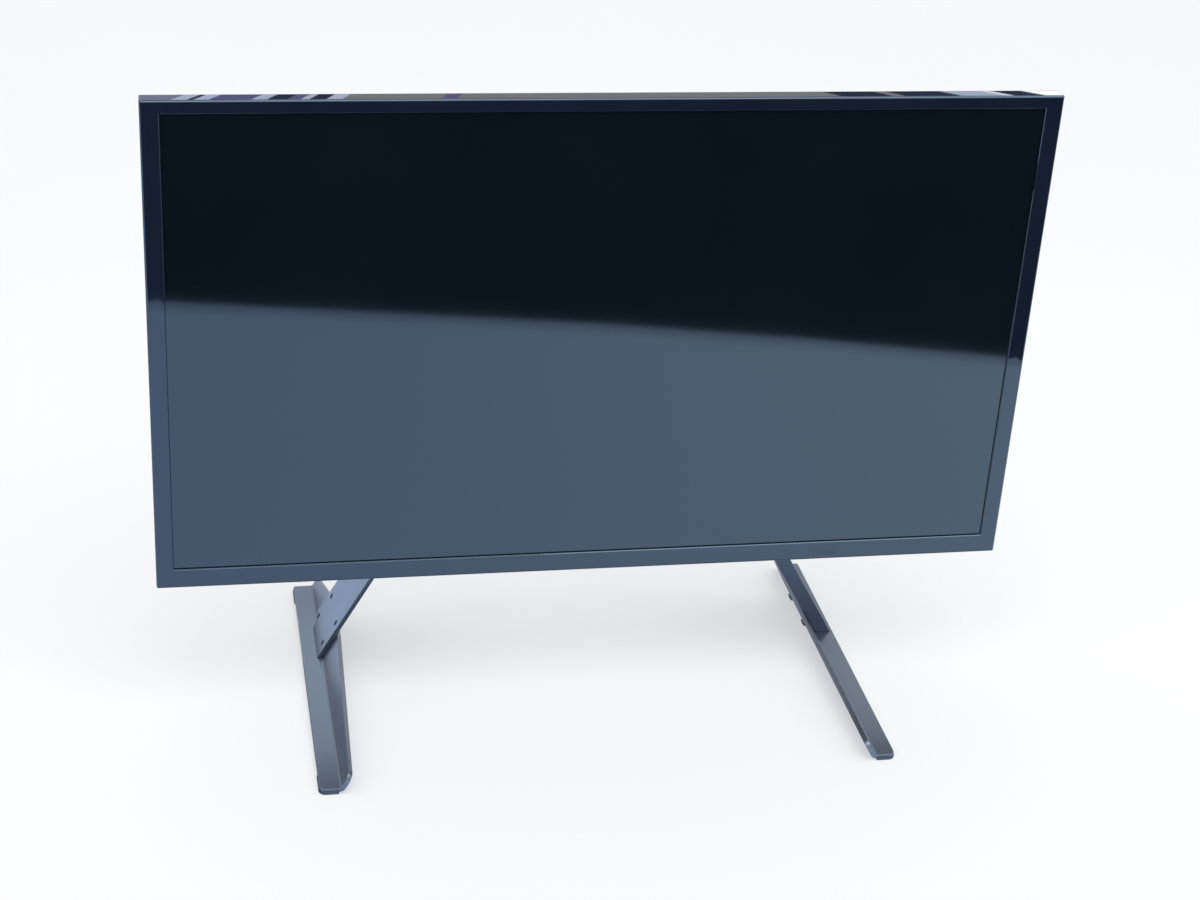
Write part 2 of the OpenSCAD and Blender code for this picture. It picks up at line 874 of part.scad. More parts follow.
module lvds_cable() {
    y0 = y_parts + ribbon_lift;
    x0 = tcon_box[0] + tcon_w - ribbon_plug;
    z1 = main_box[1] + ribbon_plug;
    half = ribbon_w / 2;
    color([0.85, 0.85, 0.8]) {
        block([x0, y0, ribbon_z - half], [ribbon_x + half, y0 + ribbon_t, ribbon_z + half]);
        block([ribbon_x - half, y0, ribbon_z], [ribbon_x + half, y0 + ribbon_t, z1]);
        block([x0 - ribbon_plug, y_parts, ribbon_z - half],
              [x0 + past, y_parts + ribbon_plug_t, ribbon_z + half]);
        block([ribbon_x - half, y_parts, z1 - past],
              [ribbon_x + half, y_parts + ribbon_plug_t, z1 + ribbon_plug]);
    }
}

module power_harness() {
    y0 = y_parts + harness_r + past;
    color([0.8, 0.75, 0.7]) {
        wire([[-board_in - past, y0, harness_z], [board_in + past, y0, harness_z]], harness_r);
        for (s = [-1, 1]) translate([s * (board_in + harness_plug / 2), 0, 0])
            chip(0, harness_z, [harness_plug, harness_plug, 2 * harness_r + past]);
    }
}

module led_cable() {
    y0 = y_behind + led_cable_r;
    plug_z = power_box[1] + lead_plug;
    turn_z = power_box[1] - lead_plug;
    color([0.9, 0.9, 0.9]) {
        wire([
            [led_plug_x, y_parts + led_cable_r, plug_z], [led_plug_x, y_parts + led_cable_r, turn_z],
            [led_plug_x, y0, turn_z], [led_cable_x, y0, turn_z],
            [led_cable_x, y0, led_z], [led_cable_x, y_pan + fit, led_z]
        ], led_cable_r);
        chip(led_plug_x, plug_z, [lead_plug, lead_plug, 2 * led_cable_r + past]);
    }
}

module speaker_leads() {
    y0 = y_parts + speaker_lead_r + past;
    box_top = speaker_z + speaker_h;
    plug_x = board_in + lead_plug;
    low_z = main_box[1] + lead_plug;
    color([0.7, 0.1, 0.1]) {
        wire([
            [plug_x, y0, speaker_lead_z], [speaker_drop_x, y0, speaker_lead_z],
            [speaker_drop_x, y0, speaker_turn_z], [-speaker_in_x, y0, speaker_turn_z],
            [-speaker_in_x, y0, box_top]
        ], speaker_lead_r);
        chip(plug_x, speaker_lead_z, [lead_plug, lead_plug, 2 * speaker_lead_r + 2 * past]);
        wire([[driver_x, y0, low_z], [driver_x, y0, box_top]], speaker_lead_r);
        chip(driver_x, low_z, [lead_plug, lead_plug, 2 * speaker_lead_r + 2 * past]);
    }
}

module ac_lead() {
    y_pin = y_back - inlet_l - pin_tail;
    y0 = y_parts + plug_t / 2;
    top = power_box[1] + plug_h / 2 + past;
    color([0.1, 0.1, 0.1]) {
        for (s = [-1, 1]) wire([
            [inlet_x + s * pin_pitch / 2, y_pin, inlet_z], [inlet_x + s * pin_pitch / 2, y0, inlet_z],
            [inlet_x + s * pin_pitch / 2, y0, top]
        ], lead_r);
        chip(inlet_x, top + past, [plug_w, plug_h, plug_t]);
    }
}

// Terminals

module window_shape(grow) {
    w = window_w + 2 * grow;
    h = window_h + 2 * grow;
    translate([window_x - w / 2, window_z - h / 2]) square([w, h]);
}

// The outline of a socket, grown by g
module socket_shape(x, w, h, g) {
    translate([x - w / 2 - g, window_z - h / 2 - g]) square([w + 2 * g, h + 2 * g]);
}

module terminal_panel() {
    y_in = y_back - wall;
    color([0.09, 0.09, 0.095]) difference() {
        union() {
            slab(y_tray, y_in - y_tray) window_shape(tray_t);
            slab(y_in - tray_t, tray_t) window_shape(tray_t + tray_rim);
        }
        slab(y_tray + tray_t, case_depth) window_shape(0);
        slab(y_tray - past, tray_t + 2 * past) {
            for (x = hdmi_xs) socket_shape(x, hdmi_w, hdmi_h, gap);
            socket_shape(usb_x, usb_w, usb_h, gap);
            socket_shape(jack_x, jack_w, jack_w, gap);
        }
        bar([antenna_x, window_z], y_tray - past, tray_t + 2 * past, antenna_r + gap);
    }
}

// A metal shell with a contact tongue, open to the back
module socket(x, w, h, tongue_z) {
    difference() {
        slab(y_parts, y_socket - y_parts) socket_shape(x, w, h, 0);
        slab(y_parts + socket_bottom, case_depth) socket_shape(x, w, h, -socket_skin);
    }
    translate([x, y_parts, window_z + tongue_z]) block(
        [-w / 2 + 2 * socket_skin + tongue_t, 0, -tongue_t / 2],
        [w / 2 - 2 * socket_skin - tongue_t, y_socket - y_parts - past, tongue_t / 2]);
}

module hdmi_sockets() {
    color([0.75, 0.75, 0.76]) for (x = hdmi_xs) socket(x, hdmi_w, hdmi_h, 0);
}

module usb_socket() {
    color([0.75, 0.75, 0.76]) socket(usb_x, usb_w, usb_h, usb_h / 4);
}

module audio_jack() {
    color([0.1, 0.1, 0.1]) difference() {
        slab(y_parts, y_socket - y_parts) socket_shape(jack_x, jack_w, jack_w, 0);
        bar([jack_x, window_z], y_parts + socket_bottom, case_depth, jack_r);
    }
}

module antenna_socket() {
    color([0.8, 0.75, 0.6]) difference() {
        union() {
            chip(antenna_x, window_z, [tuner_w, tuner_h, tuner_t]);
            bar([antenna_x, window_z], y_parts, y_socket + antenna_proud - y_parts, antenna_r);
        }
        bar([antenna_x, window_z], y_parts + tuner_t, case_depth, antenna_bore_r);
    }
}

module inlet_shape(inset) {
    w = inlet_w - 2 * inset;
    h = inlet_h - 2 * inset;
    translate([inlet_x - w / 2, inlet_z - h / 2]) square([w, h]);
}

module ac_inlet() {
    color([0.05, 0.05, 0.05]) difference() {
        slab(y_back - inlet_l, inlet_l) inlet_shape(0);
        slab(y_back - inlet_l + inlet_floor, inlet_l) {
            translate([inlet_x - (socket_w - socket_h) / 2, inlet_z - socket_h / 2])
                square([socket_w - socket_h, socket_h]);
            for (s = [-1, 1])
                translate([inlet_x + s * (socket_w - socket_h) / 2, inlet_z]) circle(socket_h / 2);
        }
        for (s = [-1, 1])
            bar([inlet_x + s * pin_pitch / 2, inlet_z], y_back - inlet_l - past, inlet_l, pin_r + fit);
    }
}

module ac_pins() {
    y0 = y_back - inlet_l - pin_tail;
    color([0.8, 0.8, 0.78]) for (s = [-1, 1])
        bar([inlet_x + s * pin_pitch / 2, inlet_z], y0, inlet_l + pin_tail - pin_short, pin_r);
}

// Buttons

module button(i) {
    color([0.1, 0.1, 0.105]) translate([button_x, 0, button_z + (button_mid - i) * button_pitch]) {
        block([-button_w / 2, y_button_rim - button_rim_t, -button_h / 2],
              [button_w / 2, y_slim + button_proud, button_h / 2]);
        block([-button_w / 2 - button_rim, y_button_rim - button_rim_t, -button_h / 2 - button_rim],
              [button_w / 2 + button_rim, y_button_rim, button_h / 2 + button_rim]);
        bar([0, 0], y_button_rim - button_rim_t - button_rod_l, button_rod_l + past, button_rod_r);
    }
}

module power_button() { button(0); }
module home_button() { button(1); }
module input_button() { button(2); }
module volume_up_button() { button(3); }
module volume_down_button() { button(4); }
module channel_up_button() { button(5); }
module channel_down_button() { button(6); }

// Wall-mount and pedestal fixings

module columns(points, r, bore_r, bore_l) {
    for (p = points) difference() {
        bar(p, y_behind, y_back - y_behind, r);
        bar(p, y_back - bore_l, bore_l + past, bore_r);
    }
}

module vesa_standoffs() {
    color([0.65, 0.65, 0.66]) columns(vesa_points, standoff_r, bolt_r, standoff_bore_l);
}

module neck_bosses() {
    color([0.65, 0.65, 0.66]) columns(neck_points, neck_r, neck_bore_r, neck_bore_l);
}

// Stand

// Puts its children into the right leg's frame
module leg() {
    translate([fold_x, 0, foot_top]) rotate([0, -splay, 0]) children();
}

module vesa_rail() {
    ear_s1 = upright_len - ear_end;
    ear_s0 = ear_s1 - ear_len;
    left = (vesa - rail_w) / 2;
    right = (vesa + rail_w) / 2;
    low = z_mid - vesa / 2 - rail_end;
    high = z_mid + vesa / 2 + rail_end;
    top = leg_point(ear_s1, 0);
    color([0.12, 0.13, 0.15]) difference() {
        union() {
            slab(y_back, steel_t) polygon([
                top, leg_point(ear_s0, 0), leg_point(ear_s0, -gusset_w), [left, low],
                [left, high], [right, high], [right, max(low, top[1]) + rail_w / 2]
            ]);
            leg() block([-steel_t, y_back, ear_s0],
                        [0, y_upright + upright_d - steel_t - fold_r, ear_s1]);
        }
        for (s = [-1, 1]) bar([vesa / 2, z_mid + s * vesa / 2], y_back - past, steel_t + 2 * past, hole_r);
        leg() holes(upright_len - hole_edge - hole_pitch_s, -steel_t, hole_r);
    }
}

// Four holes across the leg, from s upwards
module holes(s, x, r) {
    for (y = hole_ys, t = [0, hole_pitch_s])
        translate([x - past, y, s + t]) rotate([0, 90, 0]) cylinder(h = steel_t + 2 * past, r = r);
}

module vesa_rail_right() { vesa_rail(); }
module vesa_rail_left() { mirror([1, 0, 0]) vesa_rail(); }

module vesa_bolts() {
    color([0.2, 0.2, 0.22]) for (p = vesa_points)
        translate([p[0], y_back + steel_t, p[1]]) rotate([0, 0, -90]) dome_bolt(vesa_bolt_l);
}

// An angle section: the wide side against the foot, the narrow one at the front or at the back
module upright(at_front) {
    lip_y = at_front ? y_upright : y_upright + upright_d - steel_t;
    lip_x = at_front ? 0 : steel_t - upright_lip;
    y_rear = y_upright + upright_d;
    tall = upright_len + past;
    color([0.2, 0.22, 0.26]) difference() {
        union() {
            leg() side_slab(0, steel_t) polygon([
                [y_upright, -steel_t], [y_rear - heel_cut_y, -steel_t],
                [y_rear - heel_cut_y, upright_base], [y_rear, upright_base + heel_cut_s],
                [y_rear, upright_len], [y_upright, upright_len]
            ]);
            leg() block([lip_x, lip_y, at_front ? -upright_lip : flange_h + past],
                        [lip_x + upright_lip, lip_y + steel_t, upright_len]);
        }
        block([fold_x - tall, y_upright - past, -tall],
              [fold_x + tall, y_rear + past, foot_top + fold_r]);
        leg() holes(hole_edge, 0, bolt_r);
        leg() holes(upright_len - hole_edge - hole_pitch_s, 0, bolt_r);
    }
}

module upright_right() { upright(true); }
module upright_left() { mirror([1, 0, 0]) upright(false); }

module leg_bolt(y, s) {
    leg() translate([-steel_t, y, s]) dome_bolt(2 * steel_t - bolt_end_in);
}

module both_sides() {
    children();
    mirror([1, 0, 0]) children();
}

module upper_bolts() {
    color([0.2, 0.2, 0.22]) both_sides()
        for (y = hole_ys, t = [0, hole_pitch_s]) leg_bolt(y, upright_len - hole_edge - t);
}

module lower_bolts() {
    color([0.2, 0.2, 0.22]) both_sides() for (y = hole_ys) leg_bolt(y, hole_edge);
}

// The folded section of a foot, from the tip of its flat part to the top of its flange
module foot_section() {
    top = flange_h;
    polygon(concat(
        [[flat_w, -steel_t], [flat_w, 0]],
        arc(fold_turn, fold_r, fold_r, 270, 180 + splay),
        [[-top * sin(splay), top * cos(splay)],
         [-top * sin(splay) - steel_t * cos(splay), top * cos(splay) - steel_t * sin(splay)]],
        arc(fold_turn, fold_r, fold_r + steel_t, 180 + splay, 270)
    ));
}

// What is cut away above the flange, drawn from the back end to the front end
module flange_cut() {
    r = flange_corner_r;
    above = flange_h + past;
    polygon(concat(
        [[foot_half + past, flange_rear_h], [foot_half, flange_rear_h],
         [foot_half - flange_rise, flange_h], [y_upright, flange_h]],
        arc(r - foot_half, flange_front_h - r, r, 90, 180),
        [[-foot_half - past, flange_front_h - r], [-foot_half - past, above], [foot_half + past, above]]
    ));
}

module foot() {
    color([0.2, 0.22, 0.26]) difference() {
        translate([fold_x, foot_half, foot_top])
            rotate([90, 0, 0]) linear_extrude(foot_len) foot_section();
        leg() side_slab(-steel_t - past, steel_t + 2 * past) flange_cut();
        translate([0, 0, pad_t - past]) linear_extrude(steel_t + 2 * past) {
            corner_bite(fold_x + flat_w, -foot_half, 1, 1, foot_corner_r);
            corner_bite(fold_x + flat_w, foot_half, 1, -1, foot_heel_r);
        }
        leg() for (y = hole_ys) translate([-steel_t - past, y, hole_edge])
            rotate([0, 90, 0]) cylinder(h = steel_t + 2 * past, r = hole_r);
    }
}

module foot_right() { foot(); }
module foot_left() { mirror([1, 0, 0]) foot(); }

// A pad under one end of a foot, lapping its outer edge
module pad(front) {
    out = fold_x + flat_w + pad_rim;
    y_end = foot_half + pad_rim;
    y0 = front ? -y_end : y_end - pad_l;
    difference() {
        block([fold_x + fold_turn, y0, 0], [out, y0 + pad_l, pad_t + pad_lap]);
        block([fold_x, -foot_half, pad_t], [out - pad_rim, foot_half, pad_t + steel_t]);
        translate([0, 0, -past]) linear_extrude(pad_t + steel_t) corner_bite(
            out, front ? -y_end : y_end, 1, front ? 1 : -1, (front ? foot_corner_r : foot_heel_r) + pad_rim);
    }
}

module foot_pads() {
    color([0.05, 0.05, 0.05]) both_sides() {
        pad(true);
        pad(false);
    }
}

front_bezel();
ir_window();
panel_gasket();
lcd_panel();
mid_frame();
diffuser_sheet();
light_guide_plate();
reflector_sheet();
led_bar();
backlight_chassis();
chassis_screws();
rear_cover();
cover_screws();
main_board();
main_heatsink();
power_board();
power_transformer();
bulk_capacitors();
tcon_board();
ir_board();
key_board();
board_screws();
speaker_box_left();
speaker_box_right();
speaker_driver_left();
speaker_driver_right();
lvds_cable();
power_harness();
led_cable();
speaker_leads();
ac_lead();
terminal_panel();
hdmi_sockets();
usb_socket();
antenna_socket();
audio_jack();
ac_inlet();
ac_pins();
power_button();
home_button();
input_button();
volume_up_button();
volume_down_button();
channel_up_button();
channel_down_button();
vesa_standoffs();
neck_bosses();
vesa_rail_left();
vesa_rail_right();
vesa_bolts();
upright_left();
upright_right();
upper_bolts();
foot_left();
foot_right();
lower_bolts();
foot_pads();
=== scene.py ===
"""Looks of a flat screen television that stands on two splayed legs of folded steel.

Metres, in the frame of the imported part: the picture faces -Y, +Z is up, and the floor is at z = 0.
"""
import json
import math

import bmesh
import bpy
from mathutils import Matrix, Vector


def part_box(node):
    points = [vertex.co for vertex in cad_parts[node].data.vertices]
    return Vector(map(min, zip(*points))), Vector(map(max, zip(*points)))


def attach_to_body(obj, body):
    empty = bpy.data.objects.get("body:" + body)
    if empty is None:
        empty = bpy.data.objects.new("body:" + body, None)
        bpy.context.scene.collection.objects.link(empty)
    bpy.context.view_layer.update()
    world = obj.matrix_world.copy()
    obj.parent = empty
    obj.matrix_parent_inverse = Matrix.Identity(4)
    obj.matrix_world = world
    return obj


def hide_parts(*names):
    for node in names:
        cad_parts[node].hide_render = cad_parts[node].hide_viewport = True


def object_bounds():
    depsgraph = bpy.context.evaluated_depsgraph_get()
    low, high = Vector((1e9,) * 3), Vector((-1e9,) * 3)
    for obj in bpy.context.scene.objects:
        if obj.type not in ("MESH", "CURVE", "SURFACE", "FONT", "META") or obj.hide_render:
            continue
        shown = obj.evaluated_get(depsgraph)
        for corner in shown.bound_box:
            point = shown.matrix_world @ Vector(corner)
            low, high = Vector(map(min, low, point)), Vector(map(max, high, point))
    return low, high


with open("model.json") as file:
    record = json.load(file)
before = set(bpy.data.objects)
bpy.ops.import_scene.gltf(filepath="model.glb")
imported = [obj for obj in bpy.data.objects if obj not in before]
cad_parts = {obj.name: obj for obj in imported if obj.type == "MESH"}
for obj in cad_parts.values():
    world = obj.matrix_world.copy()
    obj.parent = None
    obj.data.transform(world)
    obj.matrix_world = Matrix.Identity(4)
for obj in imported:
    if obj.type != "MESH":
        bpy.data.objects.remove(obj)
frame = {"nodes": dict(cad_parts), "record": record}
cad_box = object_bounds()
NODES = frame["nodes"]
RECORD = frame["record"]
SLOT_OF = {part["node"]: part["material_slot"] for part in RECORD["subparts"]}
BODY_OF = {n: body for body, members in RECORD["behaviour"]["bodies"].items() for n in members}
MM = 0.001

# Camera, with its angles in degrees and its lens in millimetres
CAMERA_AT = Vector((-0.4504, -2.09505, 1.3883))
AZIMUTH = 12.30
ELEVATION = 27.35
ROLL = 3.706
LENS = 68.1
SENSOR = 36.0
CLIP_NEAR = 0.05
CLIP_FAR = 200

# Floor, sky and lamp
FLOOR_HALF = 30.0
FLOOR_TONE = (0.45, 0.452, 0.455)
FLOOR_MOTTLE = 0.99
FLOOR_ROUGH = 0.9
FLOOR_GLOW = 0.47
FLOOR_FADE = (5.0, 16.0)
SKY_TONE = (0.97, 0.985, 1.0)
SKY_STRENGTH = 1.02
LAMP_AT = Vector((0.2, -0.8, 2.8))
LAMP_TARGET = Vector((0, 0, 0.3))
LAMP_SIZE = (2.6, 1.8)
LAMP_WATTS = 28

# Cards on the floor, which only glossy surfaces show
CARD_LIFT = 0.001
NEAR_CARD_Y = 0.05
NEAR_CARD_X = (-0.5, 0.9)
NEAR_CARD_LEFT = (1.05, 1.29, 1.73)
NEAR_CARD_RIGHT = (1.37, 1.62, 1.95)
TONE_EDGE = [(-2.5, -1.446), (0.2, -0.956), (0.5, -0.884), (2.5, -0.304)]
TONE_EDGE_BAND = 0.028
TONE_EDGE_SHARE = 0.72
FAR_CARD_Y = -9.0
FAR_CARD_TONE = (0, 0, 0)
SHADE_LEFT = (-0.6, -0.35)
SHADE_RIGHT = (0.4, 0.7)
SHADE_FRONT = (-0.26, -0.12)
SHADE_TONE = (0.10, 0.16, 0.27)
SIDE_CARD_X = (-1.3, -0.33)
SIDE_CARD_Y = (0.1, 0.7)
SIDE_CARD_TONE = (0.97, 1.20, 1.60)

# Card high in front of the set, for the light along the rounded edges
KEY_CARD_X = (-1.2, 2.0)
KEY_CARD_Y = (-2.2, -0.7)
KEY_CARD_Z = 2.5
KEY_CARD_TONE = (4.0, 4.7, 5.3)

# Card far behind the set, for the left foot
BACK_CARD_X = (-0.9, 0.7)
BACK_CARD_Y = 3.0
BACK_CARD_Z = (1.3, 2.8)
BACK_CARD_TONE = (1.25, 1.38, 1.53)

# Row of cards above and behind the set, each with its end in the top strip that mirrors it and its tone
STRIP_CARD_Z = 0.88
STRIP_CARD_Y = (0.45, 0.75)
STRIP_LEAN_LEFT = 0.055
STRIP_LEAN_RIGHT = 0.01
STRIP_GREY = (0.78, 0.75, 0.69)
STRIP_LILAC = (0.78, 0.77, 1.1)
STRIP_VIOLET = (0.42, 0.38, 0.75)
STRIP_DARK = (0.07, 0.07, 0.13)
STRIP_BLUE = (1.5, 1.7, 2.1)
STRIP_PALE = (1.8, 1.86, 2.45)
STRIP_WHITE = (2.8, 2.8, 2.9)
STRIP_END = (4.3, 4.4, 4.6)
STRIP_START = -0.47
STRIP_CARDS = [
    (-0.425, STRIP_LILAC), (-0.41, STRIP_PALE), (-0.404, STRIP_DARK), (-0.39, STRIP_PALE),
    (-0.35, STRIP_VIOLET), (-0.336, STRIP_PALE), (-0.317, STRIP_DARK), (-0.304, STRIP_VIOLET),
    (-0.296, STRIP_PALE), (-0.28, STRIP_DARK), (-0.265, STRIP_PALE), (-0.17, STRIP_GREY),
    (-0.155, STRIP_VIOLET), (0.22, STRIP_GREY), (0.273, STRIP_DARK), (0.286, STRIP_GREY),
    (0.344, STRIP_DARK), (0.389, STRIP_BLUE), (0.399, STRIP_WHITE), (0.433, STRIP_DARK),
    (0.48, STRIP_END),
]


# Camera and stage

def add_camera():
    az, el, roll = (math.radians(a) for a in (AZIMUTH, ELEVATION, ROLL))
    forward = Vector((math.sin(az) * math.cos(el), math.cos(az) * math.cos(el), -math.sin(el)))
    level = forward.cross(Vector((0, 0, 1))).normalized()
    upright = level.cross(forward)
    right = math.cos(roll) * level + math.sin(roll) * upright
    up = right.cross(forward)
    data = bpy.data.cameras.new("camera")
    data.lens = LENS
    data.sensor_width = SENSOR
    data.clip_start = CLIP_NEAR
    data.clip_end = CLIP_FAR
    camera = bpy.data.objects.new("camera", data)
    turn = Matrix((right, up, -forward)).transposed().to_4x4()
    camera.matrix_world = Matrix.Translation(CAMERA_AT) @ turn
    bpy.context.scene.collection.objects.link(camera)
    bpy.context.scene.camera = camera


def add_sheet(name, points, mat):
    """A flat stage piece through the points."""
    mesh = bpy.data.meshes.new(name)
    mesh.from_pydata(points, [], [list(range(len(points)))])
    mesh.materials.append(mat)
    sheet = bpy.data.objects.new(name, mesh)
    bpy.context.scene.collection.objects.link(sheet)
    return sheet


def add_card(name, points, mat):
    """A sheet that shows in glossy surfaces and nowhere else."""
    card = add_sheet(name, points, mat)
    card.visible_camera = False
    card.visible_diffuse = False
    card.visible_transmission = False
    card.visible_volume_scatter = False
    card.visible_shadow = False


def glow(name, tone, strength=1.0):
    mat = bpy.data.materials.new(name)
    mat.use_nodes = True
    tree = mat.node_tree
    tree.nodes.remove(tree.nodes["Principled BSDF"])
    emit = tree.nodes.new("ShaderNodeEmission")
    emit.inputs["Color"].default_value = (*tone, 1)
    emit.inputs["Strength"].default_value = strength
    tree.links.new(emit.outputs["Emission"], tree.nodes["Material Output"].inputs["Surface"])
    return mat


def smooth_step(tree, value, span, ends=(0, 1)):
    """Goes smoothly from one end to the other over a span of the value."""
    step = tree.nodes.new("ShaderNodeMapRange")
    step.interpolation_type = "SMOOTHSTEP"
    step.inputs["From Min"].default_value = span[0]
    step.inputs["From Max"].default_value = span[1]
    step.inputs["To Min"].default_value = ends[0]
    step.inputs["To Max"].default_value = ends[1]
    tree.links.new(value, step.inputs["Value"])
    return step.outputs["Result"]


def combine(tree, operation, a, b):
    node = tree.nodes.new("ShaderNodeMath")
    node.operation = operation
    tree.links.new(a, node.inputs[0])
    tree.links.new(b, node.inputs[1])
    return node.outputs["Value"]


def mixed(tree, fac, a, b):
    """A tone between two, each a triple or another node's output."""
    mix = tree.nodes.new("ShaderNodeMix")
    mix.data_type = "VECTOR"
    ends = [socket for socket in mix.inputs if socket.type == "VECTOR" and socket.name in "AB"]
    for socket, tone in zip(ends, (a, b)):
        if isinstance(tone, tuple):
            socket.default_value = tone
        else:
            tree.links.new(tone, socket)
    tree.links.new(fac, mix.inputs["Factor"])
    return [socket for socket in mix.outputs if socket.type == "VECTOR"][0]


def pale_ground(name, share):
    """A glow with the ground's tone from left to right and the shade under the set."""
    mat = glow(name, NEAR_CARD_LEFT, share)
    tree = mat.node_tree
    coords = tree.nodes.new("ShaderNodeTexCoord")
    axes = tree.nodes.new("ShaderNodeSeparateXYZ")
    tree.links.new(coords.outputs["Object"], axes.inputs["Vector"])
    x, y = axes.outputs["X"], axes.outputs["Y"]
    tone = mixed(tree, smooth_step(tree, x, NEAR_CARD_X), NEAR_CARD_LEFT, NEAR_CARD_RIGHT)
    across = combine(tree, "SUBTRACT", smooth_step(tree, x, SHADE_LEFT), smooth_step(tree, x, SHADE_RIGHT))
    shade = combine(tree, "MULTIPLY", across, smooth_step(tree, y, SHADE_FRONT))
    tree.links.new(mixed(tree, shade, tone, SHADE_TONE), tree.nodes["Emission"].inputs["Color"])
    return mat


def floor_card(name, near_edge, far_edge, mat):
    """A card on the floor between two lines of points that run the same way."""
    add_card(name, [(x, y, CARD_LIFT) for x, y in near_edge + far_edge[::-1]], mat)


def add_floor_cards():
    """The pale and the dark ground that the picture, the bezel and the left leg mirror."""
    x0, x1 = TONE_EDGE[0][0], TONE_EDGE[-1][0]
    inner = [(x, y + TONE_EDGE_BAND) for x, y in TONE_EDGE]
    under = [(x0, NEAR_CARD_Y), (x1, NEAR_CARD_Y)]
    far = [(x0, FAR_CARD_Y), (x1, FAR_CARD_Y)]
    side, behind = ([(x, y) for x in SIDE_CARD_X] for y in SIDE_CARD_Y)
    floor_card("near_card", inner, under, pale_ground("card_pale", 1.0))
    floor_card("edge_card", TONE_EDGE, inner, pale_ground("card_dim", TONE_EDGE_SHARE))
    floor_card("side_card", side, behind, glow("card_side", SIDE_CARD_TONE))
    floor_card("far_card", far, TONE_EDGE, glow("card_dark", FAR_CARD_TONE, strength=0.0))


def add_key_card():
    (x0, x1), (y0, y1), z = KEY_CARD_X, KEY_CARD_Y, KEY_CARD_Z
    corners = [(x0, y0, z), (x1, y0, z), (x1, y1, z), (x0, y1, z)]
    add_card("key_card", corners, glow("card_key", KEY_CARD_TONE))


def add_back_card():
    (x0, x1), y, (z0, z1) = BACK_CARD_X, BACK_CARD_Y, BACK_CARD_Z
    corners = [(x0, y, z0), (x1, y, z0), (x1, y, z1), (x0, y, z1)]
    add_card("back_card", corners, glow("card_back", BACK_CARD_TONE))


def add_strip_cards():
    """Light and dark patches in the sky that the glossy top edge mirrors."""
    z_top = cad_box[1][2]
    reach = (STRIP_CARD_Z - z_top) / (CAMERA_AT.z - z_top)
    y0, y1 = STRIP_CARD_Y
    start = STRIP_START
    for i, (end, tone) in enumerate(STRIP_CARDS):
        x0, x1 = (x + (x - CAMERA_AT.x) * reach for x in (start, end))
        lean0, lean1 = (STRIP_LEAN_LEFT if x < 0 else STRIP_LEAN_RIGHT for x in (start, end))
        corners = [(x0 - lean0 / 2, y0), (x1 - lean1 / 2, y0), (x1 + lean1 / 2, y1), (x0 + lean0 / 2, y1)]
        name = "strip_card_%d" % i
        add_card(name, [(x, y, STRIP_CARD_Z) for x, y in corners], glow(name, tone))
        start = end


def floor_finish():
    """Pale and even, fading into the sky far away so that no view shows the floor's end."""
    mat, tree, bsdf = shader("floor", FLOOR_TONE, FLOOR_ROUGH, level=0.0)
    vary_colour(tree, bsdf, noise(tree, scale=1.5), FLOOR_TONE, tuple(c * FLOOR_MOTTLE for c in FLOOR_TONE))
    bsdf.inputs["Emission Color"].default_value = (*SKY_TONE, 1)
    bsdf.inputs["Emission Strength"].default_value = FLOOR_GLOW
    coords = tree.nodes.new("ShaderNodeTexCoord")
    distance = tree.nodes.new("ShaderNodeVectorMath")
    distance.operation = "LENGTH"
    tree.links.new(coords.outputs["Object"], distance.inputs[0])
    fade = smooth_step(tree, distance.outputs["Value"], FLOOR_FADE, ends=(1, 0))
    tree.links.new(fade, bsdf.inputs["Alpha"])
    return mat


def add_floor():
    h = FLOOR_HALF
    add_sheet("floor", [(-h, -h, 0), (h, -h, 0), (h, h, 0), (-h, h, 0)], floor_finish())


def add_sky():
    world = bpy.data.worlds.new("studio")
    world.use_nodes = True
    background = world.node_tree.nodes["Background"]
    background.inputs["Color"].default_value = (*SKY_TONE, 1)
    background.inputs["Strength"].default_value = SKY_STRENGTH
    bpy.context.scene.world = world


def add_lamp():
    """A softbox above and in front of the set."""
    data = bpy.data.lights.new("overhead", "AREA")
    data.shape = "RECTANGLE"
    data.size, data.size_y = LAMP_SIZE
    data.energy = LAMP_WATTS
    lamp = bpy.data.objects.new("overhead", data)
    lamp.location = LAMP_AT
    lamp.rotation_euler = (LAMP_TARGET - LAMP_AT).to_track_quat("-Z", "Y").to_euler()
    bpy.context.scene.collection.objects.link(lamp)


def add_stage():
    bpy.context.scene.view_settings.view_transform = "Standard"
    add_sky()
    add_floor()
    add_floor_cards()
    add_key_card()
    add_back_card()
    add_strip_cards()
    add_lamp()


# Materials

GLOSS_TINT = (0.72, 0.86, 1.0, 1)
GLOSS_SPREAD = (0.3, 0.7)
GLOSS_PATCH = 2.7
GRAIN_STRENGTH = 0.35
CHIP_SCALE = 110
CHIP_DETAIL = 5
CHIP_FROM = 0.66
CHIP_FADE = 0.03


def shader(name, base, rough, metal=0.0, ior=1.5, level=0.5):
    mat = bpy.data.materials.new(name)
    mat.use_nodes = True
    tree = mat.node_tree
    bsdf = tree.nodes["Principled BSDF"]
    bsdf.inputs["Base Color"].default_value = (*base, 1)
    bsdf.inputs["Roughness"].default_value = rough
    bsdf.inputs["Metallic"].default_value = metal
    bsdf.inputs["IOR"].default_value = ior
    bsdf.inputs["Specular IOR Level"].default_value = level
    return mat, tree, bsdf


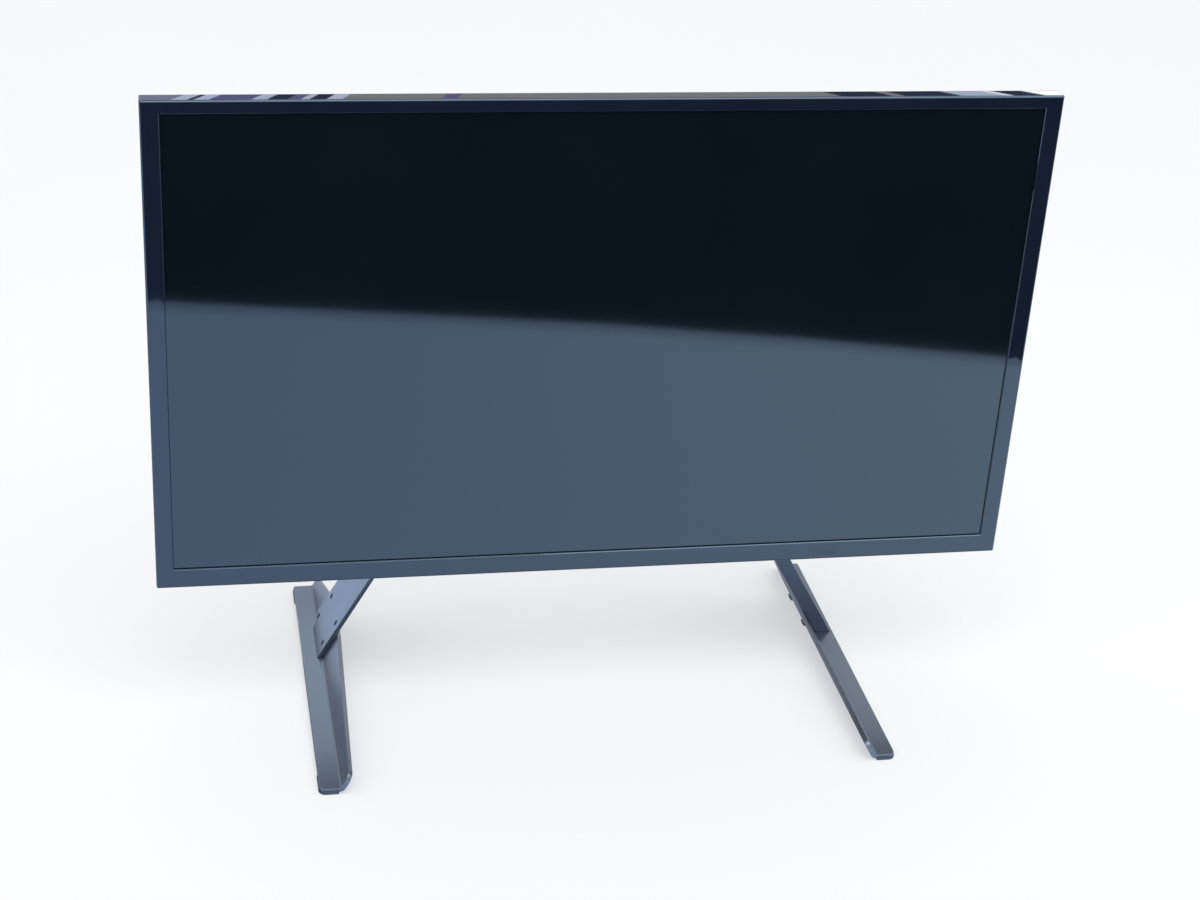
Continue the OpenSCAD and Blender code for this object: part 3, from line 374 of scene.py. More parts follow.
def noise(tree, scale, detail=3.0, stretch=(1, 1, 1)):
    """Noise in object space, with scale features to the metre."""
    coords = tree.nodes.new("ShaderNodeTexCoord")
    mapping = tree.nodes.new("ShaderNodeMapping")
    mapping.inputs["Scale"].default_value = stretch
    texture = tree.nodes.new("ShaderNodeTexNoise")
    texture.inputs["Scale"].default_value = scale
    texture.inputs["Detail"].default_value = detail
    tree.links.new(coords.outputs["Object"], mapping.inputs["Vector"])
    tree.links.new(mapping.outputs["Vector"], texture.inputs["Vector"])
    return texture.outputs["Fac"]


def vary_colour(tree, bsdf, fac, dark, light, low=0.35, high=0.65):
    ramp = tree.nodes.new("ShaderNodeValToRGB")
    ramp.color_ramp.elements[0].position = low
    ramp.color_ramp.elements[0].color = (*dark, 1)
    ramp.color_ramp.elements[1].position = high
    ramp.color_ramp.elements[1].color = (*light, 1)
    tree.links.new(fac, ramp.inputs["Fac"])
    tree.links.new(ramp.outputs["Color"], bsdf.inputs["Base Color"])


def vary_roughness(tree, bsdf, fac, smooth, rough):
    spread = tree.nodes.new("ShaderNodeMapRange")
    spread.inputs["From Min"].default_value = GLOSS_SPREAD[0]
    spread.inputs["From Max"].default_value = GLOSS_SPREAD[1]
    spread.inputs["To Min"].default_value = smooth
    spread.inputs["To Max"].default_value = rough
    tree.links.new(fac, spread.inputs["Value"])
    tree.links.new(spread.outputs["Result"], bsdf.inputs["Roughness"])


def add_bump(tree, bsdf, height, strength, depth):
    bump = tree.nodes.new("ShaderNodeBump")
    bump.inputs["Strength"].default_value = strength
    bump.inputs["Distance"].default_value = depth
    tree.links.new(height, bump.inputs["Height"])
    tree.links.new(bump.outputs["Normal"], bsdf.inputs["Normal"])


def grained(name, dark, light, smooth, rough, grain, depth, metal=0.0, patch=30):
    """A surface with patchy colour and gloss and a fine grain, so many patches and grains to the metre."""
    mat, tree, bsdf = shader(name, light, rough, metal)
    vary_colour(tree, bsdf, noise(tree, patch, detail=4), dark, light)
    vary_roughness(tree, bsdf, noise(tree, patch * GLOSS_PATCH, detail=5), smooth, rough)
    add_bump(tree, bsdf, noise(tree, grain, detail=2), GRAIN_STRENGTH, depth)
    return mat


def gloss_black(name, dark, light):
    """Piano-black moulding: nearly clean, with faint wiping marks."""
    mat, tree, bsdf = shader(name, light, rough=0.03, ior=1.7)
    bsdf.inputs["Specular Tint"].default_value = GLOSS_TINT
    vary_colour(tree, bsdf, noise(tree, scale=14), dark, light)
    wiping = noise(tree, scale=45, detail=6, stretch=(1, 1, 0.25))
    vary_roughness(tree, bsdf, wiping, smooth=0.018, rough=0.045)
    add_bump(tree, bsdf, noise(tree, scale=30, detail=1), strength=0.01, depth=0.0003)
    return mat


def screen_glass(name, dark, light):
    """Dark polariser with a fine anti-glare haze."""
    mat, tree, bsdf = shader(name, light, rough=0.05, ior=1.75)
    bsdf.inputs["Specular Tint"].default_value = GLOSS_TINT
    vary_colour(tree, bsdf, noise(tree, scale=6), dark, light)
    vary_roughness(tree, bsdf, noise(tree, scale=7), smooth=0.045, rough=0.055)
    add_bump(tree, bsdf, noise(tree, scale=3500, detail=1), strength=0.02, depth=0.00001)
    return mat


def circuit_board(name, dark, light):
    """Solder mask over fine tracks."""
    mat, tree, bsdf = shader(name, light, rough=0.4)
    coords = tree.nodes.new("ShaderNodeTexCoord")
    cells = tree.nodes.new("ShaderNodeTexVoronoi")
    cells.distance = "MANHATTAN"
    cells.feature = "F1"
    cells.inputs["Scale"].default_value = 260
    tree.links.new(coords.outputs["Object"], cells.inputs["Vector"])
    vary_colour(tree, bsdf, cells.outputs["Distance"], dark, light, low=0.3, high=0.45)
    vary_roughness(tree, bsdf, noise(tree, scale=120), smooth=0.3, rough=0.5)
    add_bump(tree, bsdf, cells.outputs["Distance"], strength=0.2, depth=0.0001)
    return mat


def painted_steel(name, dark, light, smooth, rough):
    """Metallic satin paint with a fine orange peel and faint streaks along the legs."""
    mat, tree, bsdf = shader(name, light, rough, metal=0.85, ior=1.6)
    vary_colour(tree, bsdf, noise(tree, scale=9, detail=2, stretch=(1, 0.4, 1)), dark, light)
    vary_roughness(tree, bsdf, noise(tree, scale=14), smooth, rough)
    add_bump(tree, bsdf, noise(tree, scale=700, detail=1), strength=0.06, depth=0.0001)
    return mat


def worn_and_highlit_edge(name, dark, light, bare):
    """The stand's paint along its edges: lighter all along as a painted highlight, and chipped down to the
    metal in places as wear.
    """
    mat = painted_steel(name, dark, light, smooth=0.24, rough=0.30)
    ramp = mat.node_tree.nodes["Color Ramp"].color_ramp
    for place, tone in ((CHIP_FROM, light), (CHIP_FROM + CHIP_FADE, bare)):
        ramp.elements.new(place).color = (*tone, 1)
    chips = mat.node_tree.nodes["Noise Texture"].inputs
    chips["Scale"].default_value = CHIP_SCALE
    chips["Detail"].default_value = CHIP_DETAIL
    return mat


def textured_cover(name, dark, light):
    """Moulded plastic with the leathery texture of a spark-eroded tool."""
    mat, tree, bsdf = shader(name, light, rough=0.45)
    vary_colour(tree, bsdf, noise(tree, scale=700), dark, light)
    vary_roughness(tree, bsdf, noise(tree, scale=12, detail=4), smooth=0.40, rough=0.48)
    add_bump(tree, bsdf, noise(tree, scale=900, detail=4), strength=0.5, depth=0.0005)
    return mat


WIRE = {"smooth": 0.4, "rough": 0.55, "grain": 700, "depth": 0.00008}
PLATED = {"smooth": 0.2, "rough": 0.34, "grain": 900, "depth": 0.00004, "metal": 1.0, "patch": 120}

MATERIALS = {
    "bezel_gloss": gloss_black("bezel_gloss", (0.0070, 0.0118, 0.024), (0.0088, 0.0140, 0.028)),
    "screen_glass": screen_glass("screen_glass", (0.0030, 0.0066, 0.0105), (0.0037, 0.0076, 0.0120)),
    "stand_paint": painted_steel("stand_paint", (0.127, 0.152, 0.194), (0.153, 0.181, 0.228),
                                 smooth=0.26, rough=0.34),
    "signal_board": circuit_board("signal_board", (0.01, 0.07, 0.03), (0.03, 0.17, 0.08)),
    "power_board": circuit_board("power_board", (0.25, 0.17, 0.06), (0.42, 0.31, 0.13)),
    "ir_lens": gloss_black("ir_lens", (0.006, 0.005, 0.010), (0.009, 0.007, 0.014)),
    "cover_plastic": textured_cover("cover_plastic", (0.024, 0.025, 0.027), (0.034, 0.035, 0.038)),
    "button_plastic": grained("button_plastic", (0.036, 0.037, 0.039), (0.044, 0.045, 0.047),
                              smooth=0.30, rough=0.38, grain=2200, depth=0.0001),
    "inner_plastic": grained("inner_plastic", (0.022, 0.022, 0.023), (0.030, 0.030, 0.031),
                             smooth=0.38, rough=0.48, grain=1200, depth=0.0003),
    "foam": grained("foam", (0.006, 0.008, 0.013), (0.010, 0.013, 0.019),
                    smooth=0.85, rough=0.98, grain=900, depth=0.0004),
    "white_sheet": grained("white_sheet", (0.84, 0.84, 0.82), (0.90, 0.90, 0.88),
                           smooth=0.5, rough=0.7, grain=800, depth=0.00003),
    "light_guide": grained("light_guide", (0.78, 0.84, 0.86), (0.85, 0.90, 0.92),
                           smooth=0.08, rough=0.16, grain=300, depth=0.00003),
    "led_strip": grained("led_strip", (0.78, 0.78, 0.74), (0.86, 0.86, 0.82),
                         smooth=0.35, rough=0.5, grain=500, depth=0.00005),
    "chassis_steel": grained("chassis_steel", (0.48, 0.49, 0.50), (0.64, 0.65, 0.66),
                             smooth=0.28, rough=0.48, grain=260, depth=0.00008, metal=1.0, patch=60),
    "cooler": grained("cooler", (0.62, 0.63, 0.65), (0.72, 0.73, 0.75),
                      smooth=0.3, rough=0.42, grain=900, depth=0.00005, metal=1.0),
    "coil_tape": grained("coil_tape", (0.60, 0.45, 0.05), (0.74, 0.58, 0.09),
                         smooth=0.35, rough=0.5, grain=400, depth=0.0001),
    "capacitor_sleeve": grained("capacitor_sleeve", (0.022, 0.022, 0.05), (0.035, 0.035, 0.07),
                                smooth=0.18, rough=0.28, grain=500, depth=0.00005),
    "ribbon": grained("ribbon", (0.72, 0.72, 0.68), (0.82, 0.82, 0.78),
                      smooth=0.4, rough=0.55, grain=900, depth=0.00008),
    "wire_white": grained("wire_white", (0.66, 0.65, 0.61), (0.77, 0.76, 0.72), **WIRE),
    "wire_red": grained("wire_red", (0.40, 0.03, 0.03), (0.52, 0.05, 0.05), **WIRE),
    "wire_black": grained("wire_black", (0.020, 0.020, 0.020), (0.032, 0.032, 0.032), **WIRE),
    "socket_metal": grained("socket_metal", (0.58, 0.58, 0.58), (0.70, 0.70, 0.70), **PLATED),
    "antenna_metal": grained("antenna_metal", (0.60, 0.55, 0.42), (0.74, 0.68, 0.53), **PLATED),
    "pin_metal": grained("pin_metal", (0.66, 0.65, 0.61), (0.77, 0.76, 0.72),
                         smooth=0.16, rough=0.28, grain=900, depth=0.00003, metal=1.0, patch=160),
    "screw_steel": grained("screw_steel", (0.10, 0.10, 0.105), (0.15, 0.15, 0.155),
                           smooth=0.26, rough=0.4, grain=900, depth=0.00004, metal=0.8, patch=140),
    "column_steel": grained("column_steel", (0.50, 0.50, 0.51), (0.62, 0.62, 0.63),
                            smooth=0.26, rough=0.4, grain=900, depth=0.00004, metal=1.0, patch=140),
    "bolt_steel": grained("bolt_steel", (0.030, 0.033, 0.040), (0.050, 0.054, 0.064),
                          smooth=0.24, rough=0.36, grain=1400, depth=0.00005, metal=0.4, patch=160),
    "pad_rubber": grained("pad_rubber", (0.030, 0.045, 0.072), (0.044, 0.063, 0.096),
                          smooth=0.45, rough=0.6, grain=1600, depth=0.00012),
}
# Paint of the stand's rounded edges: lighter than the stand's paint as a painted highlight, with chips of
# bare metal as wear
STAND_EDGE_WEAR_AND_HIGHLIGHT = worn_and_highlit_edge("stand_edge_wear_and_highlight", (0.140, 0.160, 0.194), (0.172, 0.194, 0.230), (0.46, 0.48, 0.52))
MARK_INK = grained("mark_ink", (0.30, 0.30, 0.31), (0.38, 0.38, 0.39),
                   smooth=0.4, rough=0.5, grain=2500, depth=0.00004)
PLATE_FILM = grained("plate_film", (0.010, 0.010, 0.011), (0.014, 0.014, 0.015),
                     smooth=0.22, rough=0.30, grain=60, depth=0.00004)
CONTACT_GOLD = grained("contact_gold", (0.75, 0.52, 0.16), (0.86, 0.62, 0.22),
                       smooth=0.18, rough=0.28, grain=900, depth=0.00003, metal=1.0, patch=160)


# Pieces and the nodes that they stand for

def finish_nodes():
    """Gives every node the finish of its slot."""
    for name, node in NODES.items():
        node.data.materials.clear()
        node.data.materials.append(MATERIALS[SLOT_OF[name]])


def attach(piece, body, slot, *mats):
    """Puts a new piece on a body, with the slot's finish unless other materials are given."""
    bpy.context.scene.collection.objects.link(piece)
    for mat in mats or (MATERIALS[slot],):
        piece.data.materials.append(mat)
    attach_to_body(piece, body)


def stand_for(piece, node, *mats):
    """Shows the piece instead of the node."""
    attach(piece, BODY_OF[node], SLOT_OF[node], *mats)
    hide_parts(node)


def even_shading(bm):
    for face in bm.faces:
        face.smooth = True
    for edge in bm.edges:
        edge.smooth = edge.is_manifold and edge.calc_face_angle(0) < SMOOTH_ANGLE


def solid(bm, name):
    """An object of the mesh, with even normals."""
    bmesh.ops.recalc_face_normals(bm, faces=bm.faces)
    even_shading(bm)
    mesh = bpy.data.meshes.new(name)
    bm.to_mesh(mesh)
    bm.free()
    piece = bpy.data.objects.new(name, mesh)
    normals = piece.modifiers.new("even_normals", "WEIGHTED_NORMAL")
    normals.keep_sharp = True
    return piece


# Rounded edges of the sheet metal and mouldings

WELD = 2e-6
FLAT_ANGLE = math.radians(0.4)
EDGE_ANGLE = math.radians(28)
SMOOTH_ANGLE = math.radians(40)
EDGE_ROOM = 2.5
BROAD_AREA = 0.004


def is_sharp(edge):
    return edge.is_manifold and edge.calc_face_angle(0) > EDGE_ANGLE


def is_inward(edge):
    return is_sharp(edge) and not edge.is_convex


def sharp_edges(bm, width):
    """The sharp edges between faces that leave room for rounding them."""
    room = EDGE_ROOM * width
    return [e for e in bm.edges if is_sharp(e)
            and min(f.calc_area() for f in e.link_faces) > room * e.calc_length()]


def flat_areas(bm):
    """The area of the flat stretch that each face belongs to."""
    areas = {}
    for face in bm.faces:
        if face in areas:
            continue
        patch = {face}
        front = [face]
        while front:
            for edge in front.pop().edges:
                level = edge.calc_face_angle(math.pi) < FLAT_ANGLE
                found = [f for f in edge.link_faces if level and f not in patch]
                patch.update(found)
                front += found
        whole = sum(f.calc_area() for f in patch)
        areas.update((f, whole) for f in patch)
    return areas


def broad_edges(bm):
    """The outward edges between large flat stretches that don't run into an inward edge."""
    areas = flat_areas(bm)
    return [e for e in bm.edges if is_sharp(e) and e.is_convex
            and min(areas[f] for f in e.link_faces) > BROAD_AREA
            and not any(is_inward(other) for vert in e.verts for other in vert.link_edges)]


def round_off(bm, edges, width, segments=2, mat=0):
    bmesh.ops.bevel(bm, geom=edges, offset=width, offset_type="OFFSET", segments=segments,
                    profile=0.5, affect="EDGES", clamp_overlap=False, material=mat)


def round_edges(bm, width):
    bmesh.ops.recalc_face_normals(bm, faces=bm.faces)
    round_off(bm, sharp_edges(bm, width), width)


def welded(node):
    """A copy of the node's mesh with its faces joined up."""
    bm = bmesh.new()
    bm.from_mesh(NODES[node].data)
    bmesh.ops.remove_doubles(bm, verts=bm.verts, dist=WELD)
    return bm


def form_of(node, rim=None):
    """The node's mesh with its flat stretches in one piece, but for a rim at the depth given."""
    bm = welded(node)
    verts = [v for v in bm.verts if rim is None or abs(v.co.y - rim) > WELD]
    inside = set(verts)
    edges = [e for e in bm.edges if inside.intersection(e.verts)]
    bmesh.ops.dissolve_limit(bm, angle_limit=FLAT_ANGLE, verts=verts, edges=edges)
    return bm


def softened(node, width, *mats, form=form_of):
    """The node's form with its sharp edges rounded off, in the last of the materials."""
    bm = form(node)
    round_off(bm, sharp_edges(bm, width), width, mat=max(len(mats) - 1, 0))
    stand_for(solid(bm, node + "_form"), node, *mats)


# Shapes along Y, from outlines in X and Z

def islands(node):
    """The lowest and highest corners of each separate solid of a node."""
    bm = welded(node)
    left = set(bm.verts)
    boxes = []
    while left:
        front = [left.pop()]
        found = []
        while front:
            vert = front.pop()
            found.append(vert.co.copy())
            for edge in vert.link_edges:
                other = edge.other_vert(vert)
                if other in left:
                    left.discard(other)
                    front.append(other)
        low = Vector([min(c[i] for c in found) for i in range(3)])
        high = Vector([max(c[i] for c in found) for i in range(3)])
        boxes.append((low, high))
    bm.free()
    return sorted(boxes, key=lambda b: tuple(b[0]))


def middle(box):
    low, high = box
    return (low + high) / 2


def pairs_round(items):
    """Each item with the next one, and the last with the first."""
    return zip(items, items[1:] + items[:1])


def ring_of(bm, outline, y):
    return [bm.verts.new((x, y, z)) for x, z in outline]


def join_rings(bm, a, b):
    for (a0, b0), (a1, b1) in pairs_round(list(zip(a, b))):
        bm.faces.new((a0, a1, b1, b0))


def prism(bm, outline, y0, y1):
    """A closed block between two places along Y."""
    front = ring_of(bm, outline, y0)
    back = ring_of(bm, outline, y1)
    join_rings(bm, front, back)
    bm.faces.new(front)
    bm.faces.new(back)


def tube(bm, outer, inner, y0, y1):
    """A closed ring between two outlines of as many points."""
    rings = [ring_of(bm, outer, y0), ring_of(bm, outer, y1), ring_of(bm, inner, y1), ring_of(bm, inner, y0)]
    for a, b in pairs_round(rings):
        join_rings(bm, a, b)


def circle(x, z, r, steps):
    turns = [2 * math.pi * i / steps for i in range(steps)]
    return [(x + r * math.cos(a), z + r * math.sin(a)) for a in turns]


def turned(bm, x, z, profile, steps):
    """A closed ring about a line along Y, through a loop of radii and places along it."""
    rings = [ring_of(bm, circle(x, z, r, steps), y) for r, y in profile]
    for a, b in pairs_round(rings):
        join_rings(bm, a, b)


def rounded(x, z, w, h, r, steps=4):
    """The outline of a rectangle with round corners."""
    points = []
    for i, (sx, sz) in enumerate(((1, 1), (-1, 1), (-1, -1), (1, -1))):
        for k in range(steps + 1):
            a = math.radians(90 * (i + k / steps))
            points.append((x + sx * (w / 2 - r) + r * math.cos(a), z + sz * (h / 2 - r) + r * math.sin(a)))
    return points


# Screws of the rear cover, mostly in shares of the head's radius

SCREW_STEPS = 28
SHANK_R = 0.5
HEAD_HEIGHT = 0.9
CROWN_SHARE = 0.6
CROWN_FLAT = 0.4
CROWN_ANGLE = 60
CROWN_STEPS = 5
CROSS_LENGTH = 0.56
CROSS_WIDTH = 0.15
CROSS_TAPER = 0.6
CROSS_DEPTH = 1.1 * MM


def cross_outline(x, z, r):
    a = r * CROSS_LENGTH
    b = r * CROSS_WIDTH
    quarter = [(a, -b), (a, b), (b, b)]
    points = []
    for c, s in ((1, 0), (0, 1), (-1, 0), (0, -1)):
        points += [(x + c * u - s * v, z + s * u + c * v) for u, v in quarter]
    return points


def cross_screw(bm, box):
    """A screw along Y with a crowned head and a cross recess."""
    low, high = box
    x, _, z = middle(box)
    r = (high.x - low.x) / 2
    head = r * HEAD_HEIGHT
    crown = head * CROWN_SHARE
    profile = [(r * SHANK_R, low.y), (r * SHANK_R, high.y - head), (r, high.y - head), (r, high.y - crown)]
    for k in range(1, CROWN_STEPS + 1):
        a = math.radians(CROWN_ANGLE * k / CROWN_STEPS)
        fall = crown * (1 - math.sin(a) / math.sin(math.radians(CROWN_ANGLE)))
        profile.append((r * (CROWN_FLAT + (1 - CROWN_FLAT) * math.cos(a)), high.y - fall))
    rings = [ring_of(bm, circle(x, z, radius, SCREW_STEPS), y) for radius, y in profile]
    for a, b in zip(rings, rings[1:]):
        join_rings(bm, a, b)
    bm.faces.new(rings[0])
    mouth = ring_of(bm, cross_outline(x, z, r), high.y)
    floor = ring_of(bm, cross_outline(x, z, r * CROSS_TAPER), high.y - CROSS_DEPTH)
    join_rings(bm, mouth, floor)
    bm.faces.new(floor)
    edges = [bm.edges.get(ends) for loop in (rings[-1], mouth) for ends in pairs_round(loop)]
    bmesh.ops.triangle_fill(bm, use_beauty=True, edges=edges)


def add_cover_screws():
    bm = bmesh.new()
    for box in islands("cover_screws"):
        cross_screw(bm, box)
    stand_for(solid(bm, "cover_screws_form"), "cover_screws")


# Sockets

SHELL_WALL = 0.5 * MM
SHELL_EDGE = 0.12 * MM
MOUTH_CHAMFER = 1.5 * MM
CHAMFER_SHRINK = 0.4
RIM_WIDTH = 0.9 * MM
RIM_RISE = 0.45 * MM
RIM_ROOT = 0.3 * MM
RIM_EDGE = 0.15 * MM
INSERT_DEPTH = 6 * MM
INSERT_BACK = 1 * MM
TONGUE_SHARE = 0.74
TONGUE_THICK = 1.3 * MM
TONGUE_SHORT = 0.8 * MM
CONTACT_SHARE = 0.5
CONTACT_THICK = 0.16 * MM
CONTACT_SHORT = 0.6 * MM
SIGNAL_CONTACTS = 9
USB_CONTACTS = 4
USB_TONGUE_RISE = 1.1 * MM


def inset_sides(box, inset):
    low, high = box
    return low.x + inset, high.x - inset, low.z + inset, high.z - inset


def chamfered_outline(box, inset):
    """The mouth of a signal socket, with its two lower corners cut off."""
    x0, x1, z0, z1 = inset_sides(box, inset)
    c = MOUTH_CHAMFER - CHAMFER_SHRINK * inset
    return [(x0, z1), (x0, z0 + c), (x0 + c, z0), (x1 - c, z0), (x1, z0 + c), (x1, z1)]


def block_outline(box, inset):
    x0, x1, z0, z1 = inset_sides(box, inset)
    return [(x0, z1), (x0, z0), (x1, z0), (x1, z1)]


def plate_outline(x, z, w, h):
    return [(x - w / 2, z - h / 2), (x + w / 2, z - h / 2), (x + w / 2, z + h / 2), (x - w / 2, z + h / 2)]


MOUTHS = {"hdmi_sockets": chamfered_outline, "usb_socket": block_outline, "audio_jack": block_outline}


def add_shells(node):
    """The hollow shell of each socket."""
    outline = MOUTHS[node]
    bm = bmesh.new()
    for box in islands(node):
        tube(bm, outline(box, 0), outline(box, SHELL_WALL), box[0].y, box[1].y)
    round_edges(bm, SHELL_EDGE)
    stand_for(solid(bm, node + "_form"), node)


def add_tongues(node, contacts, rise=0):
    """The plastic tongue and back of each socket, and its gilt contacts."""
    outline = MOUTHS[node]
    plastic = bmesh.new()
    gilt = bmesh.new()
    for box in islands(node):
        low, high = box
        x, _, z = middle(box)
        z += rise
        w = (high.x - low.x) * TONGUE_SHARE
        floor = high.y - INSERT_DEPTH
        tip = high.y - TONGUE_SHORT
        prism(plastic, outline(box, SHELL_WALL), floor - INSERT_BACK, floor)
        prism(plastic, plate_outline(x, z, w, TONGUE_THICK), floor, tip)
        for i in range(contacts):
            at = x + w * ((i + 0.5) / contacts - 0.5)
            for side in (-1, 1):
                face = z + side * TONGUE_THICK / 2
                contact = plate_outline(at, face, w * CONTACT_SHARE / contacts, CONTACT_THICK)
                prism(gilt, contact, floor, tip - CONTACT_SHORT)
    attach(solid(plastic, node + "_tongues"), BODY_OF[node], "inner_plastic")
    attach(solid(gilt, node + "_contacts"), BODY_OF[node], "pin_metal", CONTACT_GOLD)


def add_socket_rims():
    """Moulded lips round the mouths in the terminal panel's floor."""
    bm = bmesh.new()
    y0 = islands("hdmi_sockets")[0][1].y - RIM_ROOT
    for node, outline in MOUTHS.items():
        for box in islands(node):
            tube(bm, outline(box, -RIM_WIDTH), outline(box, 0), y0, y0 + RIM_RISE + RIM_ROOT)
    round_edges(bm, RIM_EDGE)
    attach(solid(bm, "socket_rims"), "set", "inner_plastic")


# Ring of the audio jack

JACK_BORE = 1.8 * MM
JACK_RING = 1.1 * MM
JACK_DEPTH = 2 * MM
JACK_ROOT = 0.2 * MM
JACK_SHOULDER = 0.4 * MM
JACK_RISE = 0.7 * MM
JACK_INNER_EDGE = 0.3 * MM
JACK_OUTER_EDGE = 0.2 * MM
JACK_STEPS = 32


def add_jack_ring():
    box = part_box("audio_jack")
    x, _, z = middle(box)
    y = box[1].y
    r0, r1 = JACK_BORE, JACK_BORE + JACK_RING
    profile = [
        (r0, y - JACK_DEPTH), (r0, y + JACK_SHOULDER), (r0 + JACK_INNER_EDGE, y + JACK_RISE),
        (r1 - JACK_OUTER_EDGE, y + JACK_RISE), (r1, y + JACK_SHOULDER), (r1, y - JACK_ROOT),
    ]
    bm = bmesh.new()
    turned(bm, x, z, profile, JACK_STEPS)
    attach(solid(bm, "jack_ring"), "set", "pin_metal")


# Thread of the aerial socket

AERIAL_R = 4.7 * MM
THREAD_PITCH = 0.8 * MM
THREAD_RISE = 0.35 * MM
THREAD_ROOT = 0.1 * MM
THREAD_FROM = 0.8 * MM
THREAD_TURNS = 9
THREAD_STEPS = 36


def add_aerial_thread():
    """Ridges round the barrel of the aerial socket."""
    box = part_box("antenna_socket")
    x, _, z = middle(box)
    root = AERIAL_R - THREAD_ROOT
    crest = AERIAL_R + THREAD_RISE
    y = box[1].y - THREAD_FROM
    profile = []
    for i in range(THREAD_TURNS):
        profile += [(AERIAL_R, y - i * THREAD_PITCH), (crest, y - (i + 0.5) * THREAD_PITCH)]
    last = y - THREAD_TURNS * THREAD_PITCH
    profile += [(AERIAL_R, last), (root, last), (root, y)]
    bm = bmesh.new()
    turned(bm, x, z, profile, THREAD_STEPS)
    attach(solid(bm, "aerial_thread"), "set", "antenna_metal")


# Marks on the buttons, drawn in millimetres as seen from behind

MARK_R = 0.2 * MM
MARK_STEPS = 2


def arc_points(cx, cz, r, a0, a1, steps=20):
    turns = [math.radians(a0 + (a1 - a0) * i / steps) for i in range(steps + 1)]
    return [(cx + r * math.cos(a), cz + r * math.sin(a)) for a in turns]


BUTTON_MARKS = {
    "power_button": [arc_points(0, 0, 1.9, 125, 415), [(0, 0.5), (0, 2.3)]],
    "home_button": [[(-2.2, 0), (0, 2), (2.2, 0)], [(-1.5, 0.3), (-1.5, -1.9), (1.5, -1.9), (1.5, 0.3)]],
    "input_button": [[(0.2, 1.8), (2.2, 1.8), (2.2, -1.8), (0.2, -1.8)], [(-2.4, 0), (0.8, 0)],
                     [(-0.2, 0.9), (0.8, 0), (-0.2, -0.9)]],
    "volume_up_button": [[(-1.8, 0), (1.8, 0)], [(0, -1.8), (0, 1.8)]],
    "volume_down_button": [[(-1.8, 0), (1.8, 0)]],
    "channel_up_button": [[(-1.8, -0.9), (0, 0.9), (1.8, -0.9)]],
    "channel_down_button": [[(-1.8, 0.9), (0, -0.9), (1.8, 0.9)]],
}


def add_mark(node, strokes):
    """Raised strokes on the face of a button."""
    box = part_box(node)
    x, _, z = middle(box)
    curve = bpy.data.curves.new(node + "_mark", "CURVE")
    curve.dimensions = "3D"
    curve.bevel_depth = MARK_R
    curve.bevel_resolution = MARK_STEPS
    curve.use_fill_caps = True
    for points in strokes:
        spline = curve.splines.new("POLY")
        spline.points.add(len(points) - 1)
        for point, (u, v) in zip(spline.points, points):
            point.co = (x - u * MM, box[1].y, z + v * MM, 1)
    attach(bpy.data.objects.new(node + "_mark", curve), BODY_OF[node], SLOT_OF[node], MARK_INK)


# Bare plate on the back

PLATE_AT = (-0.24, 0.43)
PLATE_SIZE = (0.115, 0.062)
PLATE_CORNER = 3 * MM
PLATE_RISE = 0.25 * MM
PLATE_EDGE = 0.1 * MM


def add_bare_plate():
    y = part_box("rear_cover")[1].y
    bm = bmesh.new()
    prism(bm, rounded(*PLATE_AT, *PLATE_SIZE, PLATE_CORNER), y - PLATE_RISE, y + PLATE_RISE)
    round_edges(bm, PLATE_EDGE)
    attach(solid(bm, "bare_plate"), "set", "inner_plastic", PLATE_FILM)


# Front bezel

BEZEL_EDGE = 0.6 * MM
BEZEL_MARGIN = 5 * MM
LIP_CHAMFER = 0.75 * MM
LIP_REACH = 1.2 * LIP_CHAMFER
WINDOW_MARGIN = 1 * MM


def within(edge, box, margin):
    """Whether an edge lies inside a box by a margin, as seen from the front."""
    low, high = box
    return all(low[i] + margin < vert.co[i] < high[i] - margin for vert in edge.verts for i in (0, 2))


def add_bezel():
    """The bezel with a chamfer round the picture, sharp at the small window of the receiver."""
    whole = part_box("front_bezel")
    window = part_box("ir_window")
    bm = form_of("front_bezel")

    def at_window(edge):
        return within(edge, window, -WINDOW_MARGIN)

    def at_picture(edge):
        at_face = all(vert.co.y < whole[0].y + LIP_REACH for vert in edge.verts)
        return at_face and within(edge, whole, BEZEL_MARGIN)

    edges = sharp_edges(bm, BEZEL_EDGE)
    round_off(bm, [e for e in edges if at_picture(e) and not at_window(e)], LIP_CHAMFER, segments=1)
    edges = sharp_edges(bm, BEZEL_EDGE)
    round_off(bm, [e for e in edges if not at_picture(e) and not at_window(e)], BEZEL_EDGE)
    stand_for(solid(bm, "front_bezel_form"), "front_bezel")


# Rear cover

COVER_EDGE = 0.5 * MM
COVER_ROUND = 2 * MM
COVER_STEPS = 4
RIM_DEPTH = 1 * MM
BACK_FACING = 0.99


def add_cover():
    """The cover with large rounds on its outer form, sharp where its rim meets the bezel."""
    bm = form_of("rear_cover", rim=0)

    def off_rim(edge):
        return min(vert.co.y for vert in edge.verts) > RIM_DEPTH

    def along_back(edge):
        return max(f.normal.y for f in edge.link_faces) > BACK_FACING

    round_off(bm, [e for e in broad_edges(bm) if along_back(e) and off_rim(e)], COVER_ROUND, COVER_STEPS)
    round_off(bm, [e for e in sharp_edges(bm, COVER_EDGE) if e.is_convex and off_rim(e)], COVER_EDGE)
    stand_for(solid(bm, "rear_cover_form"), "rear_cover")


# Buttons and other small parts, each with the width of its rounded edges

BUTTON_EDGE = 0.65 * MM
SMALL_EDGES = {
    "terminal_panel": 0.4 * MM, "ac_inlet": 0.4 * MM, "ac_pins": 0.4 * MM,
    "audio_jack": 0.25 * MM, "antenna_socket": 0.25 * MM, "ir_window": 0.1 * MM,
    "vesa_bolts": 0.25 * MM, "upper_bolts": 0.25 * MM, "lower_bolts": 0.25 * MM,
    "foot_pads": 0.5 * MM, "neck_bosses": 0.3 * MM,
    **{button: BUTTON_EDGE for button in BUTTON_MARKS},
}


